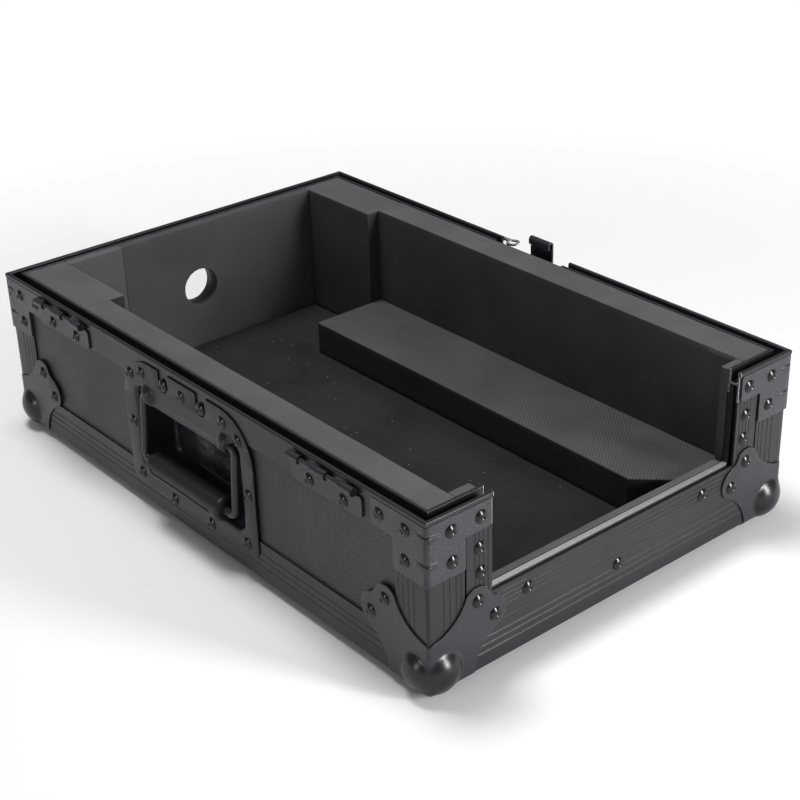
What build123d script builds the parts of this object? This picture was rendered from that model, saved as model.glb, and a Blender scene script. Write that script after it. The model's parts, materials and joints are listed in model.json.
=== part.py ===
"""Flight case base for a table-top mixer: plywood tray, edge extrusions, foam, handle and latch.

All lengths are millimetres. X runs across the case, Y from the open front to the rear, Z up.
The origin lies on the ground, under the middle of the case.
"""
import os

from build123d import *

# Overall size, measured over the rolled lips of the rim
CASE_WIDTH = 332.0
CASE_LENGTH = 500.0
LIP_TOP = 131.5
UNDERSIDE = 7.0

# Sheet and profile thicknesses
METAL = 1.5
PLY = 6.5
PLATE = 1.2
FIT = 0.05
SEAM = 0.4
CUT = 5.0

# Rim profile: a groove that takes the tongue of the lid
BEAD_OUT = 1.5
BEAD_WIDTH = 3.05
BEAD_HEIGHT = 4.0
BEAD_ROUND = 1.4
RIM_HEIGHT = 23.0
GROOVE_WIDTH = 5.8
GROOVE_DEPTH = 9.2
INNER_WALL = 2.15
INNER_WALL_ROUND = 0.7
INNER_LEG_BELOW_WEB = 7.3

# Angle profiles along the bottom and up the corners
ANGLE_LEG = 29.5
LINE_WIDTH = 1.2
LINE_DEPTH = 0.45
BOTTOM_LINES = (10.7, 16.0, 21.0)
CORNER_LINES = (12.5, 17.5, 22.5, 26.5)

# Front opening, its two posts and its sill
POST_EDGE = 53.3
POST_STRIP = 20.8
POST_LINES = (3.4, 7.0, 10.4, 13.9)
SLOT_DEPTH = 4.8
SLOT_WIDTH = 3.4
SLOT_WEB = 1.3
SLOT_WALL = 3.8
SILL_HEIGHT = 23.0
SILL_LINES = (3.4, 7.0, 10.4, 13.9)
SILL_LEG = 8.0

# Foam lining
FOAM_START = 11.3
FOAM_TOP_BELOW_LIP = 0.5
FLOOR_FOAM = 7.0
LEFT_FOAM_FACE = 33.0
RIGHT_FOAM_FACE = 37.0
LEFT_BLOCK_FACE = 46.2
RIGHT_BLOCK_FACE = 48.5
LEFT_BLOCK_LENGTH = 100.5
RIGHT_BLOCK_LENGTH = 99.0
REAR_FOAM_FACE = 18.5
REAR_FOAM_SPLIT = 95.0
FRONT_FOAM_FACE = 17.5
FRONT_LEFT_FOAM_FACE = 18.5
FRONT_LEFT_FOAM_EDGE = 50.1
FRONT_RIGHT_FOAM_EDGE = 54.0
SILL_FOAM_TOP = 59.5
FOAM_GAP = 0.3
LEDGE_WIDTH = 69.0
LEDGE_HEIGHT = 28.0
LEDGE_CHAMFER = 32.0

# Cable port through the rear wall
PORT_DIAMETER = 32.0
PORT_HEIGHT = 75.0

# Ball corners
BALL_RADIUS = 19.0
BALL_INSET = 13.0
BALL_WALL = 1.5
EAR_FOOT = 37.0
EAR_UPPER_RIVET = (40.9, 59.1)
EAR_LOWER_RIVET = (55.0, 43.5)
EAR_CREST = 43.6
EAR_TOP_FLANK = ((19.5, 50.2), (31.5, 65.5))
EAR_UPPER_LOBE = ((39.8, 69.1), (48.0, 66.6))
EAR_DIP = ((52.3, 59.3), (58.0, 56.2))
EAR_LOWER_LOBE = ((64.0, 47.5), (60.0, 36.4))
EAR_FOOT_FLANK = (43.5, 23.5)
UNDER_EAR_LENGTH = 40.0
UNDER_EAR_WIDTH = 13.0
UNDER_EAR_RIVET = 32.0

# Upper corner brackets
BRACKET_TOP_BELOW_LIP = 4.0
BRACKET_ARM = 51.0
BRACKET_ARM_HEIGHT = 18.7
BRACKET_LEG = 31.0
BRACKET_LEG_DROP = 41.5
BRACKET_ROUND = 2.0
BRACKET_RIVETS = ((19.8, 9.5), (43.5, 9.4), (20.6, 31.2))
RIB_DROPS = (13.5, 28.5)
RIB_RADIUS = 3.2
RIB_PROUD = 0.6

# Rivets
RIVET_HEAD = 9.8
RIVET_RISE = 2.1
RIVET_SHANK = 4.8
POST_RIVETS = ((43.3, 95.8), (44.4, 78.2))
SILL_RIVET_EDGE = 84.0
SILL_RIVET_HEIGHT = 49.0
FOOT_RIVET_HEIGHT = 30.0

# Hinge halves on the left wall
HINGE_LENGTH = 71.0
HINGE_CLEAR_FRONT = 8.0
HINGE_CLEAR_REAR = 0.4
HINGE_BOTTOM = 107.5
HINGE_PIN_OUT = 2.5
HINGE_PIN_HEIGHT = 125.5
HINGE_PIN_DIAMETER = 3.2
HINGE_KNUCKLE_DIAMETER = 6.0
HINGE_KNUCKLES = ((-31.2, -19.1), (-5.1, 9.4), (22.2, 33.6))
HINGE_RIVETS = (-17.0, 17.0)
HINGE_TAIL_DROP = 1.0
HINGE_RIVET_HEIGHT = 112.5
HINGE_ROUND = 2.5

# Handle in the left wall
HANDLE_BEHIND_MIDDLE = 3.0
HANDLE_HALF = 78.5
HANDLE_BOTTOM = 21.0
HANDLE_TOP = 125.0
HANDLE_FOOT_ROUND = 9.0
HANDLE_TOP_ROUND = 34.0
MOUTH_HALF = 63.0
MOUTH_BOTTOM = 37.2
MOUTH_TOP = 91.0
MOUTH_ROUND = 6.0
ARM_SLOT_TOP = 103.0
ARM_SLOT_INNER = 7.0
ARM_SLOT_OUTER = 6.8
DISH_DEPTH = 29.0
DISH_WALL = 1.2
DISH_SIDE = 1.0
DISH_TOP = 109.0
BAIL_OUT = 2.5
BAIL_TOP = 98.0
BAIL_DIAMETER = 6.0
BAIL_ARM = 56.2
BAIL_ELBOW = 5.5
BOSS_DIAMETER = 13.0
BOSS_WIDTH = 6.5
BOSS_TO_ARM = 6.0
BAIL_IN_BOSS = 4.5
GRIP_HEIGHT = 46.9
HANG_ANGLE = 4.0
GRIP_HALF = 45.0
GRIP_DIAMETER = 18.0
GRIP_END_ROUND = 3.0
HANDLE_RIVETS = (
    (-62.5, 107.5), (-46.0, 114.8), (3.4, 115.0), (53.7, 115.0), (69.3, 109.5),
    (-70.6, 69.2), (70.8, 70.4), (-65.0, 29.4), (-22.2, 25.4), (24.5, 24.5), (66.3, 29.5),
)
NOTCHED_RIVETS = ((-21.0, 115.0), (25.2, 115.5))
NOTCH_WIDTH = 11.0

# Latch in the right wall
LATCH_BEFORE_MIDDLE = 3.0
NOTCH_FRONT = 35.5
NOTCH_REAR = 39.0
NOTCH_BELOW_LIP = 7.0
LATCH_HALF = 52.0
LATCH_BOTTOM = 62.0
LATCH_MOUTH_HALF = 35.0
LATCH_MOUTH_BOTTOM = 72.0
LATCH_MOUTH_TOP = 111.0
LATCH_DEPTH = 14.5
LATCH_ROUND = 3.0
LATCH_RIVETS = ((-45.0, 118.5), (-45.0, 92.0), (45.0, 92.0), (-45.0, 67.5), (45.0, 67.5), (0.0, 67.0))
TAB_RIVET = (45.0, 118.5)
CAM_HEIGHT = 92.0
CAM_THROW = 4.0
CAM_DIAMETER = 10.0
SHAFT_DIAMETER = 8.0
HOUSING_DIAMETER = 14.0
HOUSING_FLANGE = 30.0
HUB_HALF = 6.5
HUB_HALF_HEIGHT = 8.0
HUB_FRONT = 5.9
HOOK_WIDTH = 24.0
HOOK_SHEET = 1.4
HOOK_BOTTOM = 80.0
HOOK_JOG_LOW = 118.0
HOOK_JOG_HIGH = 123.0
HOOK_TOP = 140.0
HOOK_OUT = 4.2
HOOK_REACH = 5.5
HOOK_LIP = 3.5
HOOK_STEP_HEIGHT = 131.0
HOOK_STEP = 2.0
YOKE_PLAY = 0.9
WING_TIP = 20.0
WING_HALF_HEIGHT = 8.0
WING_PIN_DIAMETER = 1.6
WING_PIN_AT = 8.6
WING_PIN_OUT = 4.0
WING_KNUCKLE = 3.2
WING_SHEET = 2.4
WING_NECK = 10.9
WING_LAP = 2.0
EAR_THICK = 2.0
TAB_RING_AT = 30.0
TAB_RING_DIAMETER = 11.0
TAB_RING_HOLE = 7.0
TAB_RING_OUT = 0.6
TAB_HEIGHT = 127.2
TAB_SHEET = 1.4
TAB_LEG_WIDTH = 9.0
TAB_LEG_BOTTOM = 110.0

# Places that follow from the sizes above
SKIN_IN = BEAD_OUT + METAL
PLY_IN = SKIN_IN + PLY
LEG_IN = PLY_IN + METAL
PLATE_OUT = BEAD_OUT - PLATE
GROOVE_IN = BEAD_WIDTH + GROOVE_WIDTH
INNER_FACE = GROOVE_IN + INNER_WALL
RIM_BOTTOM = LIP_TOP - RIM_HEIGHT
WEB_TOP = LIP_TOP - GROOVE_DEPTH
WEB_BOTTOM = WEB_TOP - METAL
INNER_LEG_BOTTOM = WEB_BOTTOM - INNER_LEG_BELOW_WEB
BASE_BOTTOM = UNDERSIDE + METAL
BASE_TOP = BASE_BOTTOM + PLY
ANGLE_TOP = UNDERSIDE + ANGLE_LEG
CORNER_ANGLE_EDGE = BEAD_OUT + ANGLE_LEG
SILL_BOTTOM = ANGLE_TOP + SEAM
SILL_TOP = SILL_BOTTOM + SILL_HEIGHT
SLOT_IN = SKIN_IN + SLOT_WIDTH
SLOT_BACK = SLOT_IN + SLOT_WALL
SILL_WEB_BOTTOM = SILL_TOP - SLOT_DEPTH - SLOT_WEB
POST_WEB = POST_EDGE - SLOT_DEPTH - SLOT_WEB
FOAM_TOP = LIP_TOP - FOAM_TOP_BELOW_LIP
FLOOR_TOP = BASE_TOP + FLOOR_FOAM
BRACKET_TOP = LIP_TOP - BRACKET_TOP_BELOW_LIP
NOTCH_FLOOR = LIP_TOP - NOTCH_BELOW_LIP
LEFT_BLOCK_START = CASE_LENGTH - LEFT_BLOCK_LENGTH
RIGHT_BLOCK_START = CASE_LENGTH - RIGHT_BLOCK_LENGTH
HINGE_CENTRES = (BRACKET_ARM + HINGE_CLEAR_FRONT + HINGE_LENGTH / 2,
                 CASE_LENGTH - BRACKET_ARM - HINGE_CLEAR_REAR - HINGE_LENGTH / 2)
HANDLE_CENTRE = CASE_LENGTH / 2 + HANDLE_BEHIND_MIDDLE
LATCH_CENTRE = CASE_LENGTH / 2 - LATCH_BEFORE_MIDDLE
NOTCH_START = LATCH_CENTRE - NOTCH_FRONT
NOTCH_END = LATCH_CENTRE + NOTCH_REAR
HANDLE_DISH_BOTTOM = MOUTH_BOTTOM - DISH_SIDE
HANDLE_DISH_HALF = MOUTH_HALF + DISH_SIDE
BOSS_OUTER = BAIL_ARM - BOSS_TO_ARM
BOSS_INNER = BOSS_OUTER - BOSS_WIDTH
BAIL_END = BOSS_OUTER - BAIL_IN_BOSS


class Wall:
    """One upright wall: distances run along it, inwards from its lip face, and up."""

    def __init__(self, name, corner, along, length):
        self.name = name
        self.length = length
        self.corner = Vector(*corner)
        self.along = Vector(*along)
        self.inward = Vector(0, 0, 1).cross(self.along)
        self.section = Plane(origin=self.corner, x_dir=self.inward, z_dir=self.along)
        self.face = Plane(origin=self.corner, x_dir=self.along, z_dir=-self.inward)
        self.plan = Plane(origin=self.corner, x_dir=self.along, z_dir=(0, 0, 1))

    def bar(self, sketch, start, end):
        """Run a section, drawn inwards and up, along the wall."""
        return extrude(self.section.offset(start) * sketch, end - start)

    def plate(self, sketch, outer, inner):
        """Give a face, drawn along and up, a thickness between two depths."""
        return extrude(self.face.offset(-inner) * sketch, inner - outer)

    def column(self, sketch, low, high):
        """Raise a plan, drawn along and inwards, between two heights."""
        return extrude(self.plan.offset(low) * sketch, high - low)

    def block(self, along, depth, height):
        """A box given by its three spans: along, depth and height."""
        return self.plate(rect((along[0], height[0]), (along[1], height[1])), depth[0], depth[1])

    def pin(self, along, height, diameter, outer, inner):
        """A round bar square to the wall."""
        return self.plate(Pos(along, height) * Circle(diameter / 2), outer, inner)

    def mitre(self, solid):
        """Cut both ends of a bar at 45 degrees in plan."""
        reach = self.length / 3
        keep = outline((0, 0), (reach, reach), (self.length - reach, reach), (self.length, 0))
        return solid & self.column(keep, -CUT, LIP_TOP + CUT)


HALF_W = CASE_WIDTH / 2
HALF_L = CASE_LENGTH / 2
FRONT = Wall("front", (-HALF_W, -HALF_L, 0), (1, 0, 0), CASE_WIDTH)
RIGHT = Wall("right", (HALF_W, -HALF_L, 0), (0, 1, 0), CASE_LENGTH)
REAR = Wall("rear", (HALF_W, HALF_L, 0), (-1, 0, 0), CASE_WIDTH)
LEFT = Wall("left", (-HALF_W, HALF_L, 0), (0, -1, 0), CASE_LENGTH)
WALLS = (FRONT, RIGHT, REAR, LEFT)


def outline(*points):
    """A flat face with straight edges."""
    return make_face(Polyline(*points, close=True))


def rect(low, high, radius=0.0):
    """A rectangle between two corners, with rounded corners if a radius is given."""
    width = high[0] - low[0]
    height = high[1] - low[1]
    middle = Pos((low[0] + high[0]) / 2, (low[1] + high[1]) / 2)
    if radius > 0:
        return middle * RectangleRounded(width, height, min(radius, width / 2.01, height / 2.01))
    return middle * Rectangle(width, height)


def line_cut(depth, height):
    """The small V that draws one decorative line along a profile."""
    half = LINE_WIDTH / 2
    return outline((depth - FIT, height - half), (depth + LINE_DEPTH, height), (depth - FIT, height + half))


def side_line_cut(place, depth):
    """The same V, drawn in a plan section."""
    half = LINE_WIDTH / 2
    return outline((place - half, depth - FIT), (place, depth + LINE_DEPTH), (place + half, depth - FIT))


def left_from_front(distance):
    """Turn a distance from the front into one along the left wall."""
    return CASE_LENGTH - distance


# Every rivet: its wall, place along, height, and the depth that its head sits on
RIVETS = {"front": [], "right": [], "rear": [], "left": []}


def add_rivet(wall, along, height, seat=PLATE_OUT):
    """Note one rivet for the wall's group and for the holes it needs."""
    RIVETS[wall.name].append((wall, along, height, seat))


def place_rivets():
    """List the rivets of all four walls."""
    for wall in WALLS:
        for along, drop in BRACKET_RIVETS:
            add_rivet(wall, along, BRACKET_TOP - drop)
            add_rivet(wall, wall.length - along, BRACKET_TOP - drop)
        for along, height in (EAR_UPPER_RIVET, EAR_LOWER_RIVET):
            add_rivet(wall, along, height)
            add_rivet(wall, wall.length - along, height)
    for along, height in POST_RIVETS:
        add_rivet(FRONT, along, height, BEAD_OUT)
        add_rivet(FRONT, CASE_WIDTH - along, height, BEAD_OUT)
    add_rivet(FRONT, SILL_RIVET_EDGE, SILL_RIVET_HEIGHT, BEAD_OUT)
    add_rivet(FRONT, CASE_WIDTH - SILL_RIVET_EDGE, SILL_RIVET_HEIGHT, BEAD_OUT)
    for wall in (FRONT, REAR):
        add_rivet(wall, wall.length / 2, FOOT_RIVET_HEIGHT, BEAD_OUT)
    for offset, height in HANDLE_RIVETS + NOTCHED_RIVETS:
        add_rivet(LEFT, left_from_front(HANDLE_CENTRE + offset), height)
    for centre in HINGE_CENTRES:
        for offset in HINGE_RIVETS:
            add_rivet(LEFT, left_from_front(centre + offset), HINGE_RIVET_HEIGHT, BEAD_OUT - METAL)
    for offset, height in LATCH_RIVETS:
        add_rivet(RIGHT, LATCH_CENTRE + offset, height)
    add_rivet(RIGHT, LATCH_CENTRE + TAB_RIVET[0], TAB_RIVET[1], PLATE_OUT - TAB_SHEET)


def rivet(wall, along, height, seat):
    """One domed rivet whose shank ends level with the inside of the plywood."""
    radius = RIVET_HEAD / 2
    sphere_radius = (radius ** 2 + RIVET_RISE ** 2) / (2 * RIVET_RISE)
    slab = Pos(0, 0, sphere_radius - RIVET_RISE / 2) * Box(RIVET_HEAD, RIVET_HEAD, RIVET_RISE)
    dome = Sphere(sphere_radius) & slab
    dome = wall.face * Pos(along, height, -seat - (sphere_radius - RIVET_RISE)) * dome
    return dome + wall.pin(along, height, RIVET_SHANK, seat, PLY_IN)


def with_holes(solid, wall):
    """Cut the rivet holes of one wall that fall on this piece."""
    box = solid.bounding_box()
    cutters = []
    for _, along, height, _ in RIVETS[wall.name]:
        place = wall.corner + wall.along * along
        near = max(box.min.X - place.X, place.X - box.max.X, box.min.Y - place.Y, place.Y - box.max.Y)
        if near < PLY_IN + CUT and box.min.Z - CUT < height < box.max.Z + CUT:
            cutters.append(wall.pin(along, height, RIVET_SHANK + 2 * FIT, -CUT, PLY_IN))
    return solid - cutters if cutters else solid


def corner_ball(inset_x, inset_y, radius):
    """A ball at the corner given by the signs of the two insets."""
    return Pos(inset_x * (HALF_W - BALL_INSET), inset_y * (HALF_L - BALL_INSET), BALL_RADIUS) * Sphere(radius)


def trim_corners(solid):
    """Take off what would stick out of the hollow ball corners."""
    reach = BALL_INSET
    for sign_x in (-1, 1):
        for sign_y in (-1, 1):
            centre = Pos(sign_x * (HALF_W - reach / 2), sign_y * (HALF_L - reach / 2), BALL_RADIUS / 2)
            corner = centre * Box(reach, reach, BALL_RADIUS) - corner_ball(sign_x, sign_y, BALL_RADIUS - BALL_WALL)
            solid = solid - corner
    return solid


# Panels of the tray

def base_panel():
    """Plywood floor of the case."""
    face = rect((SKIN_IN, SKIN_IN), (CASE_WIDTH - SKIN_IN, CASE_LENGTH - SKIN_IN))
    sheet = FRONT.column(face, BASE_BOTTOM, BASE_TOP)
    return trim_corners(sheet) - under_rivets(FIT)


def side_panel(wall):
    """Plywood side that runs the whole length of the case."""
    sheet = wall.block((SKIN_IN, wall.length - SKIN_IN), (SKIN_IN, PLY_IN), (BASE_TOP, WEB_BOTTOM))
    return with_holes(sheet, wall)


def left_panel():
    """Left side, cut out for the handle dish."""
    hole = LEFT.block(*handle_pocket(SEAM, SKIN_IN - CUT, PLY_IN + CUT))
    return side_panel(LEFT) - hole


def right_panel():
    """Right side, cut out for the latch dish."""
    hole = RIGHT.block(*latch_pocket(SEAM, SKIN_IN - CUT, PLY_IN + CUT))
    return side_panel(RIGHT) - hole


def rear_panel():
    """Rear wall with the round cable port."""
    sheet = REAR.block((PLY_IN, CASE_WIDTH - PLY_IN), (SKIN_IN, PLY_IN), (BASE_TOP, WEB_BOTTOM))
    port = REAR.pin(CASE_WIDTH / 2, PORT_HEIGHT, PORT_DIAMETER, SKIN_IN - CUT, PLY_IN + CUT)
    return with_holes(sheet - port, REAR)


def front_panel():
    """U-shaped front wall: a low sill and two stubs behind the posts."""
    face = rect((PLY_IN, BASE_TOP), (CASE_WIDTH - PLY_IN, WEB_BOTTOM))
    window = rect((POST_WEB, SILL_WEB_BOTTOM), (CASE_WIDTH - POST_WEB, WEB_BOTTOM + CUT))
    return with_holes(FRONT.plate(face - window, SKIN_IN, PLY_IN), FRONT)


# Extrusions along the edges

def rim_section():
    """Groove profile with a rolled lip outside and legs that clasp the plywood."""
    flange = rect((BEAD_OUT, RIM_BOTTOM), (SKIN_IN, LIP_TOP - BEAD_HEIGHT / 2))
    bead = rect((0, LIP_TOP - BEAD_HEIGHT), (BEAD_WIDTH, LIP_TOP), BEAD_ROUND)
    web = rect((BEAD_OUT, WEB_BOTTOM), (LEG_IN, WEB_TOP))
    inner = rect((GROOVE_IN, WEB_BOTTOM - METAL), (INNER_FACE, LIP_TOP), INNER_WALL_ROUND)
    leg = rect((PLY_IN, INNER_LEG_BOTTOM), (LEG_IN, WEB_TOP))
    return flange + bead + web + (inner - rect((0, 0), (PLY_IN, WEB_BOTTOM))) + leg


def rim(wall, start, end):
    """One length of rim, mitred where it meets the next wall."""
    return with_holes(wall.mitre(wall.bar(rim_section(), start, end)), wall)


def rim_right():
    """Right rim, cut down to let the latch hook pass."""
    notch = RIGHT.block((NOTCH_START, NOTCH_END), (-CUT, INNER_FACE + CUT), (NOTCH_FLOOR, LIP_TOP + CUT))
    dish = RIGHT.block(*latch_pocket(SEAM, -CUT, INNER_FACE + CUT))
    return rim(RIGHT, 0, CASE_LENGTH) - notch - dish


def rim_left():
    """Left rim, with its flange relieved behind the handle dish."""
    relief = LEFT.block(*handle_pocket(SEAM, -CUT, INNER_FACE + CUT))
    return rim(LEFT, 0, CASE_LENGTH) - relief


def bottom_angle(wall):
    """Angle profile under one wall, with lines drawn along its face."""
    upright = rect((BEAD_OUT, UNDERSIDE), (SKIN_IN, ANGLE_TOP))
    flat = rect((BEAD_OUT, UNDERSIDE), (BEAD_OUT + ANGLE_LEG, BASE_BOTTOM))
    lines = [line_cut(BEAD_OUT, UNDERSIDE + height) for height in BOTTOM_LINES]
    bar = wall.mitre(wall.bar(upright + flat - lines, 0, wall.length))
    bar = trim_corners(bar) - under_rivets(FIT)
    if wall is LEFT:
        bar -= LEFT.block(*handle_pocket(SEAM, -CUT, ANGLE_LEG / 2))
    return with_holes(bar, wall)


def corner_angle(wall):
    """Upright angle at the start of a wall, round the corner to the wall before it."""
    shape = rect((BEAD_OUT, BEAD_OUT), (CORNER_ANGLE_EDGE, SKIN_IN))
    shape += rect((BEAD_OUT, BEAD_OUT), (SKIN_IN, CORNER_ANGLE_EDGE))
    for place in CORNER_LINES:
        shape -= side_line_cut(BEAD_OUT + place, BEAD_OUT)
        shape -= line_cut(BEAD_OUT, BEAD_OUT + place)
    before = WALLS[WALLS.index(wall) - 1]
    angle = wall.column(shape, ANGLE_TOP + SEAM, RIM_BOTTOM - SEAM)
    return with_holes(with_holes(angle, wall), before)


def post_channel(mirrored):
    """Upright profile at one side of the front opening, with the slot for the front panel."""
    low = CORNER_ANGLE_EDGE + METAL
    strip = rect((low, BEAD_OUT), (POST_EDGE, SKIN_IN))
    for place in POST_LINES:
        strip -= side_line_cut(POST_EDGE - place, BEAD_OUT)
    web = rect((POST_WEB, SKIN_IN), (POST_WEB + SLOT_WEB, LEG_IN))
    wall = rect((POST_WEB, SLOT_IN), (POST_EDGE, SLOT_BACK))
    leg = rect((low, PLY_IN), (POST_WEB + SLOT_WEB, LEG_IN))
    front = FRONT.column(strip, SILL_BOTTOM, RIM_BOTTOM - SEAM)
    slot = FRONT.column(web + wall, SILL_WEB_BOTTOM + SLOT_WEB + SEAM, WEB_BOTTOM - SEAM)
    slot -= FRONT.block((0, POST_EDGE + CUT), (PLY_IN, LEG_IN + CUT), (INNER_LEG_BOTTOM - SEAM, LIP_TOP))
    back = FRONT.column(leg, SILL_WEB_BOTTOM + SLOT_WEB + SEAM, INNER_LEG_BOTTOM - SEAM)
    post = with_holes(front + slot + back, FRONT)
    if mirrored:
        post = mirror(post, Plane.YZ)
    return post


def sill_channel():
    """Profile on top of the low front wall, between the posts."""
    flange = rect((BEAD_OUT, SILL_BOTTOM), (SKIN_IN, SILL_TOP))
    for drop in SILL_LINES:
        flange -= line_cut(BEAD_OUT, SILL_TOP - drop)
    web = rect((BEAD_OUT, SILL_WEB_BOTTOM), (LEG_IN, SILL_WEB_BOTTOM + SLOT_WEB))
    leg = rect((PLY_IN, SILL_WEB_BOTTOM - SILL_LEG), (LEG_IN, SILL_WEB_BOTTOM + SLOT_WEB))
    bar = FRONT.bar(flange + web + leg, POST_EDGE + FIT, CASE_WIDTH - POST_EDGE - FIT)
    return with_holes(bar, FRONT)


def sill_bar():
    """Bare aluminium strip that backs the slot of the sill."""
    section = rect((SLOT_IN, SILL_WEB_BOTTOM + SLOT_WEB), (SLOT_BACK, SILL_TOP))
    return FRONT.bar(section, POST_EDGE + FIT, CASE_WIDTH - POST_EDGE - FIT)


# Corner hardware

def corner_bracket(wall):
    """Pressed bracket round one upper corner, with two ribs on its fold."""
    before = WALLS[WALLS.index(wall) - 1]
    arm_low = BRACKET_TOP - BRACKET_ARM_HEIGHT
    leg_low = BRACKET_TOP - BRACKET_LEG_DROP
    first = rect((PLATE_OUT - 2 * BRACKET_ROUND, arm_low), (BRACKET_ARM, BRACKET_TOP), BRACKET_ROUND)
    first += rect((PLATE_OUT - 2 * BRACKET_ROUND, leg_low), (BRACKET_LEG, BRACKET_TOP), BRACKET_ROUND)
    first &= rect((PLATE_OUT, 0), (BRACKET_ARM + CUT, LIP_TOP))
    second = mirror(first, Plane.YZ)
    sheet = wall.plate(first, PLATE_OUT, BEAD_OUT)
    sheet += before.plate(Pos(before.length, 0) * second, PLATE_OUT, BEAD_OUT)
    inside = wall.block((BEAD_OUT, CASE_WIDTH / 2), (BEAD_OUT, CASE_WIDTH / 2), (leg_low - CUT, LIP_TOP))
    centre = PLATE_OUT - RIB_PROUD + RIB_RADIUS
    for drop in RIB_DROPS:
        place = wall.corner + wall.along * centre + wall.inward * centre
        rib = Pos(place.X, place.Y, BRACKET_TOP - drop) * Sphere(RIB_RADIUS)
        sheet += rib - inside
    return with_holes(with_holes(sheet, wall), before)


def ear_face():
    """Outline of one ear of a ball corner: two lobes round the rivets, hollow flanks."""
    corner = Vector(PLATE_OUT, UNDERSIDE - PLATE)
    foot = Vector(EAR_FOOT, UNDERSIDE - PLATE)
    crest = Vector(PLATE_OUT, EAR_CREST)
    edges = [
        Line(crest, corner),
        Line(corner, foot),
        ThreePointArc(foot, EAR_FOOT_FLANK, EAR_LOWER_LOBE[1]),
        ThreePointArc(EAR_LOWER_LOBE[1], EAR_LOWER_LOBE[0], EAR_DIP[1]),
        ThreePointArc(EAR_DIP[1], EAR_DIP[0], EAR_UPPER_LOBE[1]),
        ThreePointArc(EAR_UPPER_LOBE[1], EAR_UPPER_LOBE[0], EAR_TOP_FLANK[1]),
        ThreePointArc(EAR_TOP_FLANK[1], EAR_TOP_FLANK[0], crest),
    ]
    return make_face(edges)


def ball_corner(wall):
    """Hollow pressed ball with an ear on each of its two walls and one underneath."""
    before = WALLS[WALLS.index(wall) - 1]
    place = wall.corner + wall.along * BALL_INSET + wall.inward * BALL_INSET
    ball = Pos(place.X, place.Y, BALL_RADIUS) * Sphere(BALL_RADIUS)
    hollow = Pos(place.X, place.Y, BALL_RADIUS) * Sphere(BALL_RADIUS - BALL_WALL)
    ear = ear_face()
    plates = wall.plate(ear, PLATE_OUT, BEAD_OUT)
    plates += before.plate(Pos(before.length, 0) * mirror(ear, Plane.YZ), PLATE_OUT, BEAD_OUT)
    length, width = UNDER_EAR_LENGTH, UNDER_EAR_WIDTH
    under = outline((PLATE_OUT, PLATE_OUT), (length, PLATE_OUT), (length, width), (width, length), (PLATE_OUT, length))
    plates += wall.column(under, UNDERSIDE - PLATE, UNDERSIDE)
    case = wall.block((BEAD_OUT, CASE_WIDTH / 2), (BEAD_OUT, CASE_WIDTH / 2), (UNDERSIDE, LIP_TOP))
    corner = with_holes(with_holes(plates + ball - hollow - case, wall), before)
    return corner - under_rivets(FIT)


def under_rivets(play=0.0):
    """The rivets of all four bottom ears, two to each ear."""
    places = []
    for wall in WALLS:
        places.append(wall.corner + wall.along * UNDER_EAR_RIVET + wall.inward * BALL_INSET)
        places.append(wall.corner + wall.along * BALL_INSET + wall.inward * UNDER_EAR_RIVET)
    return [under_rivet(place, play) for place in places]


def under_rivet(place, play):
    """One rivet set from below; with some play, only the hole that it needs."""
    rise = RIVET_RISE
    radius = RIVET_HEAD / 2
    sphere_radius = (radius ** 2 + rise ** 2) / (2 * rise)
    head = Sphere(sphere_radius) & Pos(0, 0, -sphere_radius + rise / 2) * Box(RIVET_HEAD, RIVET_HEAD, rise)
    head = Pos(place.X, place.Y, UNDERSIDE - PLATE + sphere_radius - rise) * head
    shank = Pos(place.X, place.Y, (UNDERSIDE - PLATE + BASE_TOP) / 2)
    shank = shank * Cylinder(RIVET_SHANK / 2 + play, BASE_TOP - UNDERSIDE + PLATE)
    return shank if play else head + shank


# Foam lining

def wall_foam(wall, along, face, low, high):
    """Foam strip glued to the plywood, stepped where the rim's inner leg comes down."""
    strip = wall.block(along, (PLY_IN, face), (low, high))
    step = wall.block((along[0] - CUT, along[1] + CUT), (PLY_IN - CUT, FOAM_START),
                      (INNER_LEG_BOTTOM - SEAM, high + CUT))
    return strip - step


def foam_floor():
    """Foam sheet over the whole floor."""
    low = PLY_IN
    return FRONT.column(rect((low, low), (CASE_WIDTH - low, CASE_LENGTH - low)), BASE_TOP, FLOOR_TOP)


def foam_left():
    """Long left strip, hollowed behind the handle dish."""
    strip = wall_foam(LEFT, (left_from_front(LEFT_BLOCK_START), CASE_LENGTH - FOAM_START), LEFT_FOAM_FACE,
                      FLOOR_TOP, FOAM_TOP)
    return strip - LEFT.block(*handle_pocket(DISH_WALL + FOAM_GAP, 0, DISH_DEPTH + DISH_WALL + FOAM_GAP))


def foam_right():
    """Long right strip, hollowed behind the latch dish."""
    strip = wall_foam(RIGHT, (FOAM_START, RIGHT_BLOCK_START), RIGHT_FOAM_FACE, FLOOR_TOP, FOAM_TOP)
    return strip - RIGHT.block(*latch_pocket(DISH_WALL + FOAM_GAP, 0, LATCH_DEPTH + 4 * DISH_WALL))


def foam_left_rear():
    """Thicker block in the rear left corner."""
    return wall_foam(LEFT, (FOAM_START, left_from_front(LEFT_BLOCK_START)), LEFT_BLOCK_FACE, FLOOR_TOP, FOAM_TOP)


def foam_right_rear():
    """Thicker block in the rear right corner."""
    return wall_foam(RIGHT, (RIGHT_BLOCK_START, CASE_LENGTH - FOAM_START), RIGHT_BLOCK_FACE, FLOOR_TOP, FOAM_TOP)


def foam_rear_left():
    """Short rear piece beside the left corner block."""
    span = (CASE_WIDTH - REAR_FOAM_SPLIT, CASE_WIDTH - LEFT_BLOCK_FACE)
    return wall_foam(REAR, span, REAR_FOAM_FACE, FLOOR_TOP, FOAM_TOP)


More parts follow.
